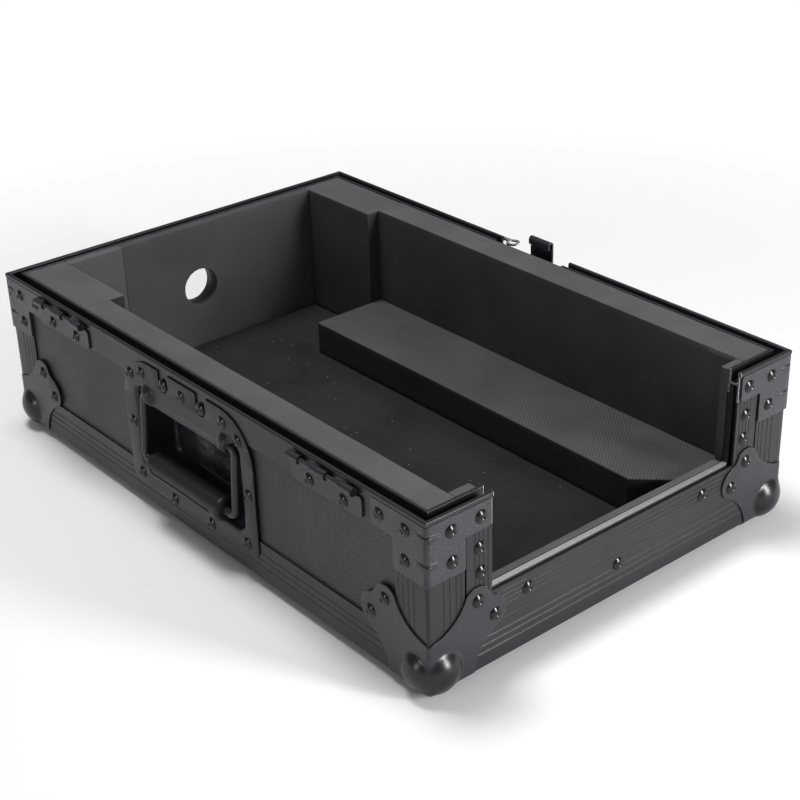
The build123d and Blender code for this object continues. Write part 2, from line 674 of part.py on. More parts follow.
def foam_rear_main():
    """Main rear piece, holed for the cable port."""
    span = (RIGHT_BLOCK_FACE, CASE_WIDTH - REAR_FOAM_SPLIT)
    sheet = wall_foam(REAR, span, REAR_FOAM_FACE, FLOOR_TOP, FOAM_TOP)
    return sheet - REAR.pin(CASE_WIDTH / 2, PORT_HEIGHT, PORT_DIAMETER, 0, REAR_FOAM_FACE + CUT)


def foam_front_left():
    """Upright strip behind the left post."""
    span = (LEFT_FOAM_FACE, FRONT_LEFT_FOAM_EDGE)
    return wall_foam(FRONT, span, FRONT_LEFT_FOAM_FACE, FLOOR_TOP, FOAM_TOP) - post_relief()


def foam_front_right():
    """Upright strip behind the right post."""
    span = (CASE_WIDTH - FRONT_RIGHT_FOAM_EDGE, CASE_WIDTH - RIGHT_FOAM_FACE)
    return wall_foam(FRONT, span, FRONT_FOAM_FACE, FLOOR_TOP, FOAM_TOP) - post_relief()


def post_relief():
    """Room that the foam leaves for the inner legs of the posts and the sill."""
    return FRONT.block((0, CASE_WIDTH), (0, FOAM_START), (SILL_WEB_BOTTOM - SILL_LEG - SEAM, LIP_TOP + CUT))


def foam_front_sill():
    """Low strip behind the sill."""
    span = (FRONT_LEFT_FOAM_EDGE, CASE_WIDTH - FRONT_RIGHT_FOAM_EDGE)
    return FRONT.block(span, (PLY_IN, FRONT_FOAM_FACE), (FLOOR_TOP, SILL_FOAM_TOP)) - post_relief()


def foam_ledge():
    """Raised step along the right side, with its front corner cut off."""
    low = CASE_WIDTH - RIGHT_FOAM_FACE - LEDGE_WIDTH
    high = CASE_WIDTH - RIGHT_FOAM_FACE
    front = FRONT_FOAM_FACE + FIT
    face = outline((low, front + LEDGE_CHAMFER), (low + LEDGE_CHAMFER, front), (high, front),
                   (high, RIGHT_BLOCK_START), (low, RIGHT_BLOCK_START))
    return FRONT.column(face, FLOOR_TOP, FLOOR_TOP + LEDGE_HEIGHT)


# Hinge halves

def hinge_plate(centre):
    """Half of a lift-off hinge: a leaf with three knuckles."""
    middle = left_from_front(centre)
    half = HINGE_LENGTH / 2
    leaf = rect((middle - half, HINGE_BOTTOM), (middle + half, HINGE_PIN_HEIGHT - HINGE_PIN_DIAMETER), HINGE_ROUND)
    plate = LEFT.plate(leaf, BEAD_OUT - METAL, BEAD_OUT)
    top = HINGE_PIN_HEIGHT - HINGE_TAIL_DROP
    for low, high in HINGE_KNUCKLES:
        span = (left_from_front(centre + high), left_from_front(centre + low))
        barrel = Pos(-HINGE_PIN_OUT, HINGE_PIN_HEIGHT) * Circle(HINGE_KNUCKLE_DIAMETER / 2)
        tail = rect((BEAD_OUT - METAL, HINGE_PIN_HEIGHT - 2 * HINGE_PIN_DIAMETER), (BEAD_OUT, top))
        root = rect((-HINGE_PIN_OUT, HINGE_PIN_HEIGHT - HINGE_KNUCKLE_DIAMETER / 2), (BEAD_OUT, top))
        bore = Pos(-HINGE_PIN_OUT, HINGE_PIN_HEIGHT) * Circle(HINGE_PIN_DIAMETER / 2 + FIT / 2)
        plate += LEFT.bar(barrel + tail + root - bore, span[0], span[1])
    return with_holes(plate, LEFT)


def hinge_pins():
    """One straight pin through the knuckles of each hinge half."""
    section = Pos(-HINGE_PIN_OUT, HINGE_PIN_HEIGHT) * Circle(HINGE_PIN_DIAMETER / 2)
    low = HINGE_KNUCKLES[0][0]
    high = HINGE_KNUCKLES[-1][1]
    return [LEFT.bar(section, left_from_front(centre + high), left_from_front(centre + low))
            for centre in HINGE_CENTRES]


# Handle

def handle_pocket(play, outer, inner):
    """Spans of the hollow in the left wall that takes the handle dish."""
    middle = left_from_front(HANDLE_CENTRE)
    half = HANDLE_DISH_HALF + DISH_WALL + play
    low = HANDLE_DISH_BOTTOM - DISH_WALL - play
    return (middle - half, middle + half), (outer, inner), (low, DISH_TOP + DISH_WALL + play)


def mouth_face():
    """Opening of the handle dish, raised at both ends for the arms of the bail."""
    middle = left_from_front(HANDLE_CENTRE)
    face = rect((middle - MOUTH_HALF, MOUTH_BOTTOM), (middle + MOUTH_HALF, MOUTH_TOP), MOUTH_ROUND)
    for sign in (-1, 1):
        inner = middle + sign * (BAIL_ARM - ARM_SLOT_INNER)
        outer = middle + sign * (BAIL_ARM + ARM_SLOT_OUTER)
        low, high = sorted((inner, outer))
        face += rect((low, MOUTH_BOTTOM + MOUTH_ROUND), (high, ARM_SLOT_TOP), BAIL_DIAMETER / 2)
    return face


def handle_dish():
    """Pressed dish: a flange over the wall, a deep pocket and two pivot bosses."""
    middle = left_from_front(HANDLE_CENTRE)
    low = middle - HANDLE_HALF
    high = middle + HANDLE_HALF
    body = rect((low, HANDLE_BOTTOM), (high, HANDLE_TOP - HANDLE_TOP_ROUND / 2), HANDLE_FOOT_ROUND)
    crown = rect((low, HANDLE_BOTTOM + HANDLE_FOOT_ROUND), (high, HANDLE_TOP), HANDLE_TOP_ROUND)
    face = body + crown
    for offset, height in NOTCHED_RIVETS:
        along = left_from_front(HANDLE_CENTRE + offset)
        half = NOTCH_WIDTH / 2
        face -= rect((along - half, height - half), (along + half, HANDLE_TOP + CUT), NOTCH_WIDTH / 2.1)
    flange = LEFT.plate(face - mouth_face(), PLATE_OUT, BEAD_OUT)
    outer = LEFT.block(*handle_pocket(0, BEAD_OUT, DISH_DEPTH + DISH_WALL))
    inner = LEFT.block(*handle_pocket(-DISH_WALL, 0, DISH_DEPTH))
    dish = flange + (outer - inner)
    for sign in (-1, 1):
        span = sorted((middle + sign * BOSS_INNER, middle + sign * BOSS_OUTER))
        boss = LEFT.bar(Pos(BAIL_OUT, BAIL_TOP) * Circle(BOSS_DIAMETER / 2), span[0], span[1])
        neck = LEFT.block(span, (PLATE_OUT, BAIL_OUT), (BAIL_TOP - BOSS_DIAMETER / 2, BAIL_TOP + BOSS_DIAMETER / 2))
        bore = Pos(BAIL_OUT, BAIL_TOP) * Circle(BAIL_DIAMETER / 2 + FIT)
        dish += boss + neck
        dish -= LEFT.bar(bore, span[0] - CUT, span[1] + CUT)
    return with_holes(dish, LEFT)


def handle_bail():
    """Bent rod: two short pivots turned inwards, two arms and the bar inside the grip."""
    middle = left_from_front(HANDLE_CENTRE)
    drawing = LEFT.face.offset(-BAIL_OUT)
    points = [(middle - BAIL_END, BAIL_TOP), (middle - BAIL_ARM, BAIL_TOP), (middle - BAIL_ARM, GRIP_HEIGHT),
              (middle + BAIL_ARM, GRIP_HEIGHT), (middle + BAIL_ARM, BAIL_TOP), (middle + BAIL_END, BAIL_TOP)]
    path = drawing * FilletPolyline(*points, radius=BAIL_ELBOW)
    start = Plane(origin=path @ 0, z_dir=path % 0)
    return hang(sweep(start * Circle(BAIL_DIAMETER / 2), path=path))


def handle_grip():
    """Fat moulded grip round the lower bar of the bail."""
    middle = left_from_front(HANDLE_CENTRE)
    ring = Pos(BAIL_OUT, GRIP_HEIGHT) * (Circle(GRIP_DIAMETER / 2) - Circle(BAIL_DIAMETER / 2 + FIT))
    grip = LEFT.bar(ring, middle - GRIP_HALF, middle + GRIP_HALF)
    rims = grip.edges().filter_by(GeomType.CIRCLE).filter_by(lambda edge: edge.radius > BAIL_DIAMETER)
    return hang(fillet(rims, min(GRIP_END_ROUND, GRIP_DIAMETER / 4)))


def hang(piece):
    """Let a piece of the bail hang from its pivots, leaning a little out of the dish."""
    pivot = Axis(LEFT.corner + LEFT.inward * BAIL_OUT + Vector(0, 0, BAIL_TOP), (0, 1, 0))
    return piece.rotate(pivot, HANG_ANGLE)


# Latch

def latch_pocket(play, outer, inner):
    """Spans of the hollow in the right wall that takes the latch dish."""
    half = LATCH_MOUTH_HALF + DISH_WALL + play
    return ((LATCH_CENTRE - half, LATCH_CENTRE + half), (outer, inner),
            (LATCH_MOUTH_BOTTOM - DISH_WALL - play, LATCH_MOUTH_TOP + DISH_WALL + play))


def latch_dish():
    """Pressed dish of the latch with its flange over the wall."""
    face = rect((LATCH_CENTRE - LATCH_HALF, LATCH_BOTTOM), (LATCH_CENTRE + LATCH_HALF, NOTCH_FLOOR), LATCH_ROUND)
    mouth = rect((LATCH_CENTRE - LATCH_MOUTH_HALF, LATCH_MOUTH_BOTTOM),
                 (LATCH_CENTRE + LATCH_MOUTH_HALF, LATCH_MOUTH_TOP), LATCH_ROUND)
    dish = RIGHT.plate(face - mouth, PLATE_OUT, BEAD_OUT)
    outer = RIGHT.block(*latch_pocket(0, BEAD_OUT, LATCH_DEPTH))
    inner = RIGHT.block(*latch_pocket(-DISH_WALL, 0, LATCH_DEPTH - DISH_WALL))
    dish += outer - inner
    dish -= RIGHT.pin(LATCH_CENTRE, CAM_HEIGHT, SHAFT_DIAMETER + 2 * FIT, LATCH_DEPTH - CUT, LATCH_DEPTH + CUT)
    return with_holes(dish, RIGHT)


def latch_housing():
    """Flanged bush on the floor of the dish that carries the shaft."""
    floor = LATCH_DEPTH - DISH_WALL
    disc = RIGHT.pin(LATCH_CENTRE, CAM_HEIGHT, HOUSING_FLANGE, floor - METAL, floor)
    tube = RIGHT.pin(LATCH_CENTRE, CAM_HEIGHT, HOUSING_DIAMETER, FOAM_GAP + METAL / 5, floor)
    bore = RIGHT.pin(LATCH_CENTRE, CAM_HEIGHT, SHAFT_DIAMETER + 2 * FIT, -CUT, floor + CUT)
    return disc + tube - bore


def latch_spindle():
    """Shaft, eccentric and wing hub in one turned piece."""
    front = -HOOK_SHEET - FOAM_GAP
    shaft = RIGHT.pin(LATCH_CENTRE, CAM_HEIGHT, SHAFT_DIAMETER, FOAM_GAP, LATCH_DEPTH + METAL)
    cam = RIGHT.pin(LATCH_CENTRE, CAM_HEIGHT + CAM_THROW, CAM_DIAMETER, front, FOAM_GAP)
    hub = RIGHT.block((LATCH_CENTRE - HUB_HALF, LATCH_CENTRE + HUB_HALF), (-HUB_FRONT, front),
                      (CAM_HEIGHT - HUB_HALF_HEIGHT, CAM_HEIGHT + HUB_HALF_HEIGHT))
    reach = WING_PIN_AT + WING_KNUCKLE / 2
    for sign in (-1, 1):
        low, high = sorted((CAM_HEIGHT + sign * HUB_HALF_HEIGHT, CAM_HEIGHT + sign * (HUB_HALF_HEIGHT - EAR_THICK)))
        hub += RIGHT.block((LATCH_CENTRE - reach, LATCH_CENTRE + reach),
                           (-WING_PIN_OUT - WING_KNUCKLE / 2, -WING_PIN_OUT + WING_KNUCKLE / 2), (low, high))
    return shaft + cam + hub - [wing_pin(-1, FIT), wing_pin(1, FIT)]


def wing_pin(sign, play=0.0):
    """Upright pin of one wing."""
    plan = Pos(LATCH_CENTRE + sign * WING_PIN_AT, -WING_PIN_OUT) * Circle(WING_PIN_DIAMETER / 2 + play)
    return RIGHT.column(plan, CAM_HEIGHT - HUB_HALF_HEIGHT, CAM_HEIGHT + HUB_HALF_HEIGHT)


def latch_wing(sign):
    """One folding wing of the butterfly handle."""
    half = HUB_HALF_HEIGHT - EAR_THICK - 2 * FIT
    pin = LATCH_CENTRE + sign * WING_PIN_AT
    neck = sorted((pin, LATCH_CENTRE + sign * (WING_NECK + WING_LAP)))
    blade = sorted((LATCH_CENTRE + sign * WING_NECK, LATCH_CENTRE + sign * WING_TIP))
    depth = (-WING_PIN_OUT - WING_SHEET / 2, -WING_PIN_OUT + WING_SHEET / 2)
    face = rect((neck[0], CAM_HEIGHT - half), (neck[1], CAM_HEIGHT + half))
    face += rect((blade[0], CAM_HEIGHT - WING_HALF_HEIGHT), (blade[1], CAM_HEIGHT + WING_HALF_HEIGHT), 2 * METAL)
    wing = RIGHT.plate(face, depth[0], depth[1])
    knuckle = Pos(pin, -WING_PIN_OUT) * Circle(WING_KNUCKLE / 2)
    wing += RIGHT.column(knuckle, CAM_HEIGHT - half, CAM_HEIGHT + half)
    return wing - wing_pin(sign, FIT)


def latch_hook():
    """Sliding hook: a yoke round the eccentric, a step outwards and a curled top."""
    sheet = HOOK_SHEET
    low = rect((-sheet, HOOK_BOTTOM), (0, HOOK_JOG_LOW))
    jog = outline((0, HOOK_JOG_LOW), (-sheet, HOOK_JOG_LOW), (-HOOK_OUT, HOOK_JOG_HIGH),
                  (sheet - HOOK_OUT, HOOK_JOG_HIGH))
    high = rect((-HOOK_OUT, HOOK_JOG_HIGH), (sheet - HOOK_OUT, HOOK_TOP - sheet))
    bend = HOOK_REACH / 2
    curl = Pos(bend - HOOK_OUT, HOOK_TOP - bend) * (Circle(bend) - Circle(bend - sheet))
    curl &= rect((-HOOK_OUT, HOOK_TOP - bend), (HOOK_REACH, HOOK_TOP))
    tip = HOOK_REACH - HOOK_OUT
    lip = rect((tip - sheet, HOOK_TOP - bend - HOOK_LIP), (tip, HOOK_TOP - bend))
    high &= rect((-HOOK_OUT, 0), (sheet, HOOK_TOP - bend))
    half = HOOK_WIDTH / 2
    hook = RIGHT.bar(low + jog + high + curl + lip, LATCH_CENTRE - half, LATCH_CENTRE + half)
    window_half = CAM_THROW + CAM_DIAMETER / 2 + FOAM_GAP
    middle = CAM_HEIGHT + CAM_THROW
    reach = CAM_DIAMETER / 2 + YOKE_PLAY
    hook -= RIGHT.block((LATCH_CENTRE - window_half, LATCH_CENTRE + window_half), (-CUT, CUT),
                        (middle - reach, middle + reach))
    step = RIGHT.block((LATCH_CENTRE + half - HOOK_STEP, LATCH_CENTRE + half + CUT), (-CUT - HOOK_OUT, CUT),
                       (HOOK_STEP_HEIGHT, HOOK_TOP + CUT))
    return hook - step


def padlock_tab():
    """Bare metal ring tab beside the hook, for a padlock."""
    ring_at = LATCH_CENTRE + TAB_RING_AT
    leg_at = LATCH_CENTRE + TAB_RIVET[0]
    out = -TAB_RING_OUT
    leg_out = PLATE_OUT - TAB_SHEET
    neck_half = TAB_RING_HOLE / 4
    disc = Pos(ring_at, out) * Circle(TAB_RING_DIAMETER / 2)
    neck = rect((ring_at, out - neck_half - TAB_SHEET), (leg_at + TAB_LEG_WIDTH / 2, -TAB_SHEET / 4))
    flat = disc + neck - Pos(ring_at, out) * Circle(TAB_RING_HOLE / 2)
    tab = RIGHT.column(flat, TAB_HEIGHT, TAB_HEIGHT + TAB_SHEET)
    leg = RIGHT.block((leg_at - TAB_LEG_WIDTH / 2, leg_at + TAB_LEG_WIDTH / 2), (leg_out, PLATE_OUT),
                      (TAB_LEG_BOTTOM, TAB_HEIGHT))
    return with_holes(tab + leg, RIGHT)


def build():
    """Make every piece, by the name of its node."""
    place_rivets()
    pieces = {
        "base_panel": base_panel(),
        "left_panel": left_panel(),
        "right_panel": right_panel(),
        "rear_panel": rear_panel(),
        "front_panel": front_panel(),
        "rim_left": rim_left(),
        "rim_right": rim_right(),
        "rim_rear": rim(REAR, 0, CASE_WIDTH),
        "rim_front_left": rim(FRONT, 0, POST_EDGE),
        "rim_front_right": rim(FRONT, CASE_WIDTH - POST_EDGE, CASE_WIDTH),
        "post_left": post_channel(False),
        "post_right": post_channel(True),
        "sill_channel": sill_channel(),
        "sill_bar": sill_bar(),
        "foam_floor": foam_floor(),
        "foam_left": foam_left(),
        "foam_left_rear": foam_left_rear(),
        "foam_right": foam_right(),
        "foam_right_rear": foam_right_rear(),
        "foam_rear_left": foam_rear_left(),
        "foam_rear_main": foam_rear_main(),
        "foam_front_left": foam_front_left(),
        "foam_front_right": foam_front_right(),
        "foam_front_sill": foam_front_sill(),
        "foam_ledge": foam_ledge(),
        "hinge_front": hinge_plate(HINGE_CENTRES[0]),
        "hinge_rear": hinge_plate(HINGE_CENTRES[1]),
        "hinge_pins": hinge_pins(),
        "handle_dish": handle_dish(),
        "handle_bail": handle_bail(),
        "handle_grip": handle_grip(),
        "latch_dish": latch_dish(),
        "latch_housing": latch_housing(),
        "latch_spindle": latch_spindle(),
        "latch_hook": latch_hook(),
        "latch_wing_front": latch_wing(-1),
        "latch_wing_rear": latch_wing(1),
        "latch_wing_pins": [wing_pin(-1), wing_pin(1)],
        "padlock_tab": padlock_tab(),
    }
    corners = {"front_left": FRONT, "front_right": RIGHT, "rear_right": REAR, "rear_left": LEFT}
    for name, wall in corners.items():
        pieces["corner_angle_" + name] = corner_angle(wall)
        pieces["corner_bracket_" + name] = corner_bracket(wall)
        pieces["ball_corner_" + name] = ball_corner(wall)
    for wall in WALLS:
        pieces["bottom_angle_" + wall.name] = bottom_angle(wall)
        pieces["rivets_" + wall.name] = [rivet(*place) for place in RIVETS[wall.name]]
    pieces["rivets_bottom"] = under_rivets()
    return pieces


def main():
    """Write one file for each piece."""
    os.makedirs("parts", exist_ok=True)
    for name, piece in build().items():
        shape = Compound(children=piece) if isinstance(piece, list) else piece
        export_step(shape, "parts/" + name + ".step")


if __name__ == "__main__":
    main()
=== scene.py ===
"""Looks of an open flight case base: finishes, foam lining, ball corners, handle, light and camera.

Lengths are millimetres where nothing else is said, and turn into metres where a mesh is made. The frame is
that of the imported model: X to the latch side, Y to the rear, Z up, with the ground at zero.
"""
import json
import logging
import math
from dataclasses import dataclass, field, fields, replace
from enum import Enum

import bmesh
import bpy
from bmesh.types import BMEdge, BMesh, BMVert
from bpy.types import Material, NodeOutputs, NodeSocket, Object
from mathutils import Matrix, Vector, noise


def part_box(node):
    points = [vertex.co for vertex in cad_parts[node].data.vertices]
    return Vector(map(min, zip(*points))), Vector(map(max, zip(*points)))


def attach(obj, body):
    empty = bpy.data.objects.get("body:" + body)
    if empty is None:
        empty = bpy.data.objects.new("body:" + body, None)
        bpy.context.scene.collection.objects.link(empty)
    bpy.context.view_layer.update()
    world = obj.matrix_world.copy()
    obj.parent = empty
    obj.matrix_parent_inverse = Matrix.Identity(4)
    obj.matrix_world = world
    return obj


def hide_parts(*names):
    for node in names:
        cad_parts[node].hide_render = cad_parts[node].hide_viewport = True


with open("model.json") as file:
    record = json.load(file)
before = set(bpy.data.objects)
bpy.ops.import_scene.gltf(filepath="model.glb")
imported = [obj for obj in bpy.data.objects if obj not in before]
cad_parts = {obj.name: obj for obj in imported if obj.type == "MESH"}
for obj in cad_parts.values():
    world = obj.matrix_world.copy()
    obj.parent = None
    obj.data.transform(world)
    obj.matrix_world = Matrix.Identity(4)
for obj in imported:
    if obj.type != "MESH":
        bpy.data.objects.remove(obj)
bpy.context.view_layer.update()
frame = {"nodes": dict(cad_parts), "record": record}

LOG = logging.getLogger("flight_case")
MM = 0.001
CASE_HALF_WIDTH = 166.0
CASE_HALF_LENGTH = 250.0
MERGE = 1e-6
FLAT_ANGLE = 0.5
WHITE = (1.0, 1.0, 1.0, 1.0)

Pair = tuple[float, float]
Triple = tuple[float, float, float]
Stretch = tuple[Pair, Pair, int]


class Pattern(Enum):
    """Relief that a finish carries besides its grain."""

    PLAIN = "plain"
    TREAD = "tread"
    SAW_CUT = "saw_cut"
    HATCH = "hatch"
    BRUSHED = "brushed"
    CRINKLE = "crinkle"


class Side(Enum):
    """The four corners of the case, as signs along X and Y."""

    FRONT_LEFT = (-1, -1)
    FRONT_RIGHT = (1, -1)
    REAR_RIGHT = (1, 1)
    REAR_LEFT = (-1, 1)


# Node helpers

class Graph:
    """Adds nodes to one node tree and joins them."""

    COLUMNS, ACROSS, DOWN = 9, 220, -260

    def __init__(self, tree: bpy.types.NodeTree) -> None:
        """Keep the tree, and count its nodes to lay them out."""
        self.tree = tree
        self.count = 0

    def node(self, kind: str, inputs: dict | None = None, **settings: object) -> bpy.types.Node:
        """Add one node.

        Args:
            kind: Blender's name for the node type.
            inputs: values or sockets by input name or index.
            settings: attributes of the node.

        Returns:
            The new node.
        """
        made = self.tree.nodes.new(kind)
        made.location = (self.ACROSS * (self.count % self.COLUMNS), self.DOWN * (self.count // self.COLUMNS))
        self.count += 1
        for name, value in settings.items():
            setattr(made, name, value)
        for key, value in (inputs or {}).items():
            if isinstance(value, NodeSocket):
                self.tree.links.new(value, made.inputs[key])
            else:
                made.inputs[key].default_value = value
        return made

    def math(self, operation: str, first: object, second: object = 0.0) -> NodeSocket:
        """Work out one number from two values or sockets."""
        return self.node("ShaderNodeMath", {0: first, 1: second}, operation=operation).outputs[0]

    def gap(self, first: object, second: object) -> NodeSocket:
        """Work out how far apart two numbers are."""
        return self.math("ABSOLUTE", self.math("SUBTRACT", first, second))

    def ramp(self, value: NodeSocket, low: float, high: float, start: float = 0.0,
             end: float = 1.0) -> NodeSocket:
        """Map a value smoothly from the range of low to high to that of start to end."""
        ranges = {"Value": value, "From Min": low, "From Max": high, "To Min": start, "To Max": end}
        return self.node("ShaderNodeMapRange", ranges, interpolation_type="SMOOTHSTEP").outputs["Result"]

    def mix(self, factor: object, first: object, second: object) -> NodeSocket:
        """Mix two colours by the share of the second."""
        return self.node("ShaderNodeMix", {0: factor, 6: first, 7: second}, data_type="RGBA").outputs[2]

    def axes(self, vector: object) -> NodeOutputs:
        """Split a vector or a colour into its three numbers."""
        return self.node("ShaderNodeSeparateXYZ", {0: vector}).outputs

    def noise(self, vector: object, scale: object, detail: float, **more: float) -> NodeSocket:
        """Sample noise around a half, with about as many forms in a metre as the scale says."""
        inputs = {"Vector": vector, "Scale": scale, "Detail": detail, **more}
        return self.node("ShaderNodeTexNoise", inputs).outputs[0]


def clear_graph(holder: Material | bpy.types.World) -> Graph:
    """Empty the node tree of a material or a world and return its graph.

    Args:
        holder: the material or world.

    Returns:
        The graph of the empty tree.
    """
    holder.use_nodes = True
    holder.node_tree.nodes.clear()
    return Graph(holder.node_tree)


class Effect:
    """A shader node group that takes a vector and named numbers."""

    def __init__(self, name: str, **numbers: float) -> None:
        """Make the group and its inputs.

        Args:
            name: name of the group.
            numbers: each number's name and usual value.
        """
        self.graph = Graph(bpy.data.node_groups.new(name, "ShaderNodeTree"))
        self._socket("Vector", "INPUT", "NodeSocketVector")
        for key, value in numbers.items():
            self._socket(key, "INPUT", "NodeSocketFloat").default_value = value
        self.given = self.graph.node("NodeGroupInput").outputs

    def _socket(self, name: str, way: str, kind: str) -> bpy.types.NodeTreeInterfaceSocket:
        """Add an input or an output to the group."""
        return self.graph.tree.interface.new_socket(name=name, in_out=way, socket_type=kind)

    def give(self, **results: NodeSocket) -> "Effect":
        """Add the outputs of the group.

        Args:
            results: the socket that each output passes on.

        Returns:
            The effect itself.
        """
        for name, value in results.items():
            self._socket(name, "OUTPUT", "NodeSocketVector" if value.type == "VECTOR" else "NodeSocketFloat")
        self.graph.node("NodeGroupOutput", results)
        return self

    def place(self, graph: Graph, vector: NodeSocket, **numbers: float) -> NodeOutputs:
        """Place the group in a material, with those numbers that differ from the usual ones."""
        return graph.node("ShaderNodeGroup", {"Vector": vector, **numbers}, node_tree=self.graph.tree).outputs


class Effects:
    """The effects that several finishes share; lengths in them are metres."""

    PEEL_DETAIL, FLECK_DETAIL, TONE_DETAIL, STRIPE_DETAIL = 3.0, 1.0, 4.0, 2.0
    FLECK_FINER = 1.15
    FLECK_LEVELS = (0.54, 0.66)
    TONE_LEVELS = (0.3, 0.7)
    TONE_ROUGHNESS = 0.55
    STROKE_EDGE = (0.08, 0.26)
    CELL_EDGE = (0.38, 0.47)
    SECOND_WAY = 0.8
    FOLD_START = 0.00002
    RIB_REACH = (0.004, 0.0125)
    RIB_WIDTH = 0.0026
    WOBBLE_SCALE, WOBBLE = 120.0, 2.2
    PATCH_SCALE, PATCH_FAINT = 18.0, 0.25
    PATCH_LEVELS = (0.34, 0.6)
    SPECK_EDGE = (0.03, 0.075)

    def __init__(self) -> None:
        """Build every group."""
        self.grain = self._grain()
        self.tone = self._tone()
        self.tread = self._tread()
        self.stripes = self._stripes()
        self.specks = self._specks()
        self.fold = self._fold()
        self.ribs = self._ribs()

    def _grain(self) -> Effect:
        """Orange peel and fine flecks of a powder coat or a cast skin.

        Returns:
            The effect.
        """
        effect = Effect("coat_grain", Size=0.0006)
        graph, vector = effect.graph, effect.given["Vector"]
        scale = graph.math("DIVIDE", 1.0, effect.given["Size"])
        finer = graph.math("MULTIPLY", scale, self.FLECK_FINER)
        fleck = graph.noise(vector, finer, self.FLECK_DETAIL)
        peel = graph.noise(vector, scale, self.PEEL_DETAIL)
        return effect.give(Height=peel, Fleck=graph.ramp(fleck, *self.FLECK_LEVELS))

    def _tone(self) -> Effect:
        """Slow change of tone over a surface, as handling and light dust leave.

        Returns:
            The effect.
        """
        effect = Effect("slow_tone", Size=0.06)
        graph = effect.graph
        scale = graph.math("DIVIDE", 1.0, effect.given["Size"])
        cloud = graph.noise(effect.given["Vector"], scale, self.TONE_DETAIL, Roughness=self.TONE_ROUGHNESS)
        return effect.give(Value=graph.ramp(cloud, *self.TONE_LEVELS))

    def _tread(self) -> Effect:
        """Clusters of short diagonal strokes, turned a quarter from one cell to the next.

        Returns:
            The effect.
        """
        effect = Effect("stroke_tread", Cell=0.0064, Stroke=0.00215)
        graph, given = effect.graph, effect.given
        across, back, up = graph.axes(given["Vector"])
        run = graph.math("ADD", across, back)
        slopes = graph.math("ADD", up, run), graph.math("SUBTRACT", up, run)
        cells = [graph.math("FLOOR", graph.math("DIVIDE", slope, given["Cell"])) for slope in slopes]
        odd = graph.math("MODULO", graph.math("ABSOLUTE", graph.math("ADD", *cells)), 2.0)
        lines, ends = ([self._fade(graph, slope, given[name], edge) for slope in slopes]
                       for name, edge in (("Stroke", self.STROKE_EDGE), ("Cell", self.CELL_EDGE)))
        first = graph.math("MULTIPLY", lines[0], ends[1])
        second = graph.math("MULTIPLY", graph.math("MULTIPLY", lines[1], ends[0]), self.SECOND_WAY)
        first = graph.math("MULTIPLY", first, graph.math("SUBTRACT", 1.0, odd))
        return effect.give(Height=graph.math("ADD", first, graph.math("MULTIPLY", second, odd)))

    def _fade(self, graph: Graph, slope: NodeSocket, pitch: NodeSocket, edge: Pair) -> NodeSocket:
        """Mask the middle of each step along a slope; its edge is in shares of a step."""
        share = graph.math("FRACT", graph.math("DIVIDE", slope, pitch))
        return graph.ramp(graph.gap(share, 0.5), *edge, 1.0, 0.0)

    def _fold(self) -> Effect:
        """Mask and direction of the rounded fold at the upright corners of the case.

        Returns:
            The effect.
        """
        effect = Effect("round_fold", Radius=0.003)
        graph = effect.graph
        past, signed = [], []
        for place, half in zip(graph.axes(effect.given["Vector"]), (CASE_HALF_WIDTH, CASE_HALF_LENGTH)):
            centre = graph.math("SUBTRACT", half * MM, effect.given["Radius"])
            beyond = graph.math("SUBTRACT", graph.math("ABSOLUTE", place), centre)
            past.append(graph.math("MAXIMUM", beyond, 0.0))
            signed.append(graph.math("MULTIPLY", past[-1], graph.math("SIGN", place)))
        turned = graph.node("ShaderNodeCombineXYZ", {"X": signed[0], "Y": signed[1]}).outputs[0]
        unit = graph.node("ShaderNodeVectorMath", {0: turned}, operation="NORMALIZE").outputs[0]
        both = graph.math("MINIMUM", *past)
        return effect.give(Mask=graph.math("GREATER_THAN", both, self.FOLD_START), Normal=unit)

    def _ribs(self) -> Effect:
        """Two short ribs pressed across the fold of a corner bracket.

        Returns:
            The effect.
        """
        effect = Effect("fold_ribs", Lower=0.0995, Upper=0.119)
        graph = effect.graph
        *places, up = graph.axes(effect.given["Vector"])
        inward = [graph.math("SUBTRACT", half * MM, graph.math("ABSOLUTE", place))
                  for place, half in zip(places, (CASE_HALF_WIDTH, CASE_HALF_LENGTH))]
        reach = graph.ramp(graph.math("MAXIMUM", *inward), *self.RIB_REACH, 1.0, 0.0)
        rows = [graph.ramp(graph.gap(up, effect.given[name]), 0.0, self.RIB_WIDTH, 1.0, 0.0)
                for name in ("Lower", "Upper")]
        return effect.give(Height=graph.math("MULTIPLY", graph.math("ADD", *rows), reach))

    def _stripes(self) -> Effect:
        """Parallel saw or knife marks that come and go.

        Returns:
            The effect.
        """
        effect = Effect("cut_stripes", Pitch=0.0023)
        graph, vector = effect.graph, effect.given["Vector"]
        across = graph.math("MULTIPLY", graph.axes(vector)[0], math.tau)
        turn = graph.math("DIVIDE", across, effect.given["Pitch"])
        wobble = graph.noise(vector, self.WOBBLE_SCALE, self.STRIPE_DETAIL)
        wobble = graph.math("MULTIPLY", wobble, self.WOBBLE)
        wave = graph.math("SINE", graph.math("ADD", turn, wobble))
        patches = graph.noise(vector, self.PATCH_SCALE, self.STRIPE_DETAIL)
        strength = graph.ramp(patches, *self.PATCH_LEVELS, self.PATCH_FAINT)
        return effect.give(Height=graph.math("MULTIPLY", wave, strength))

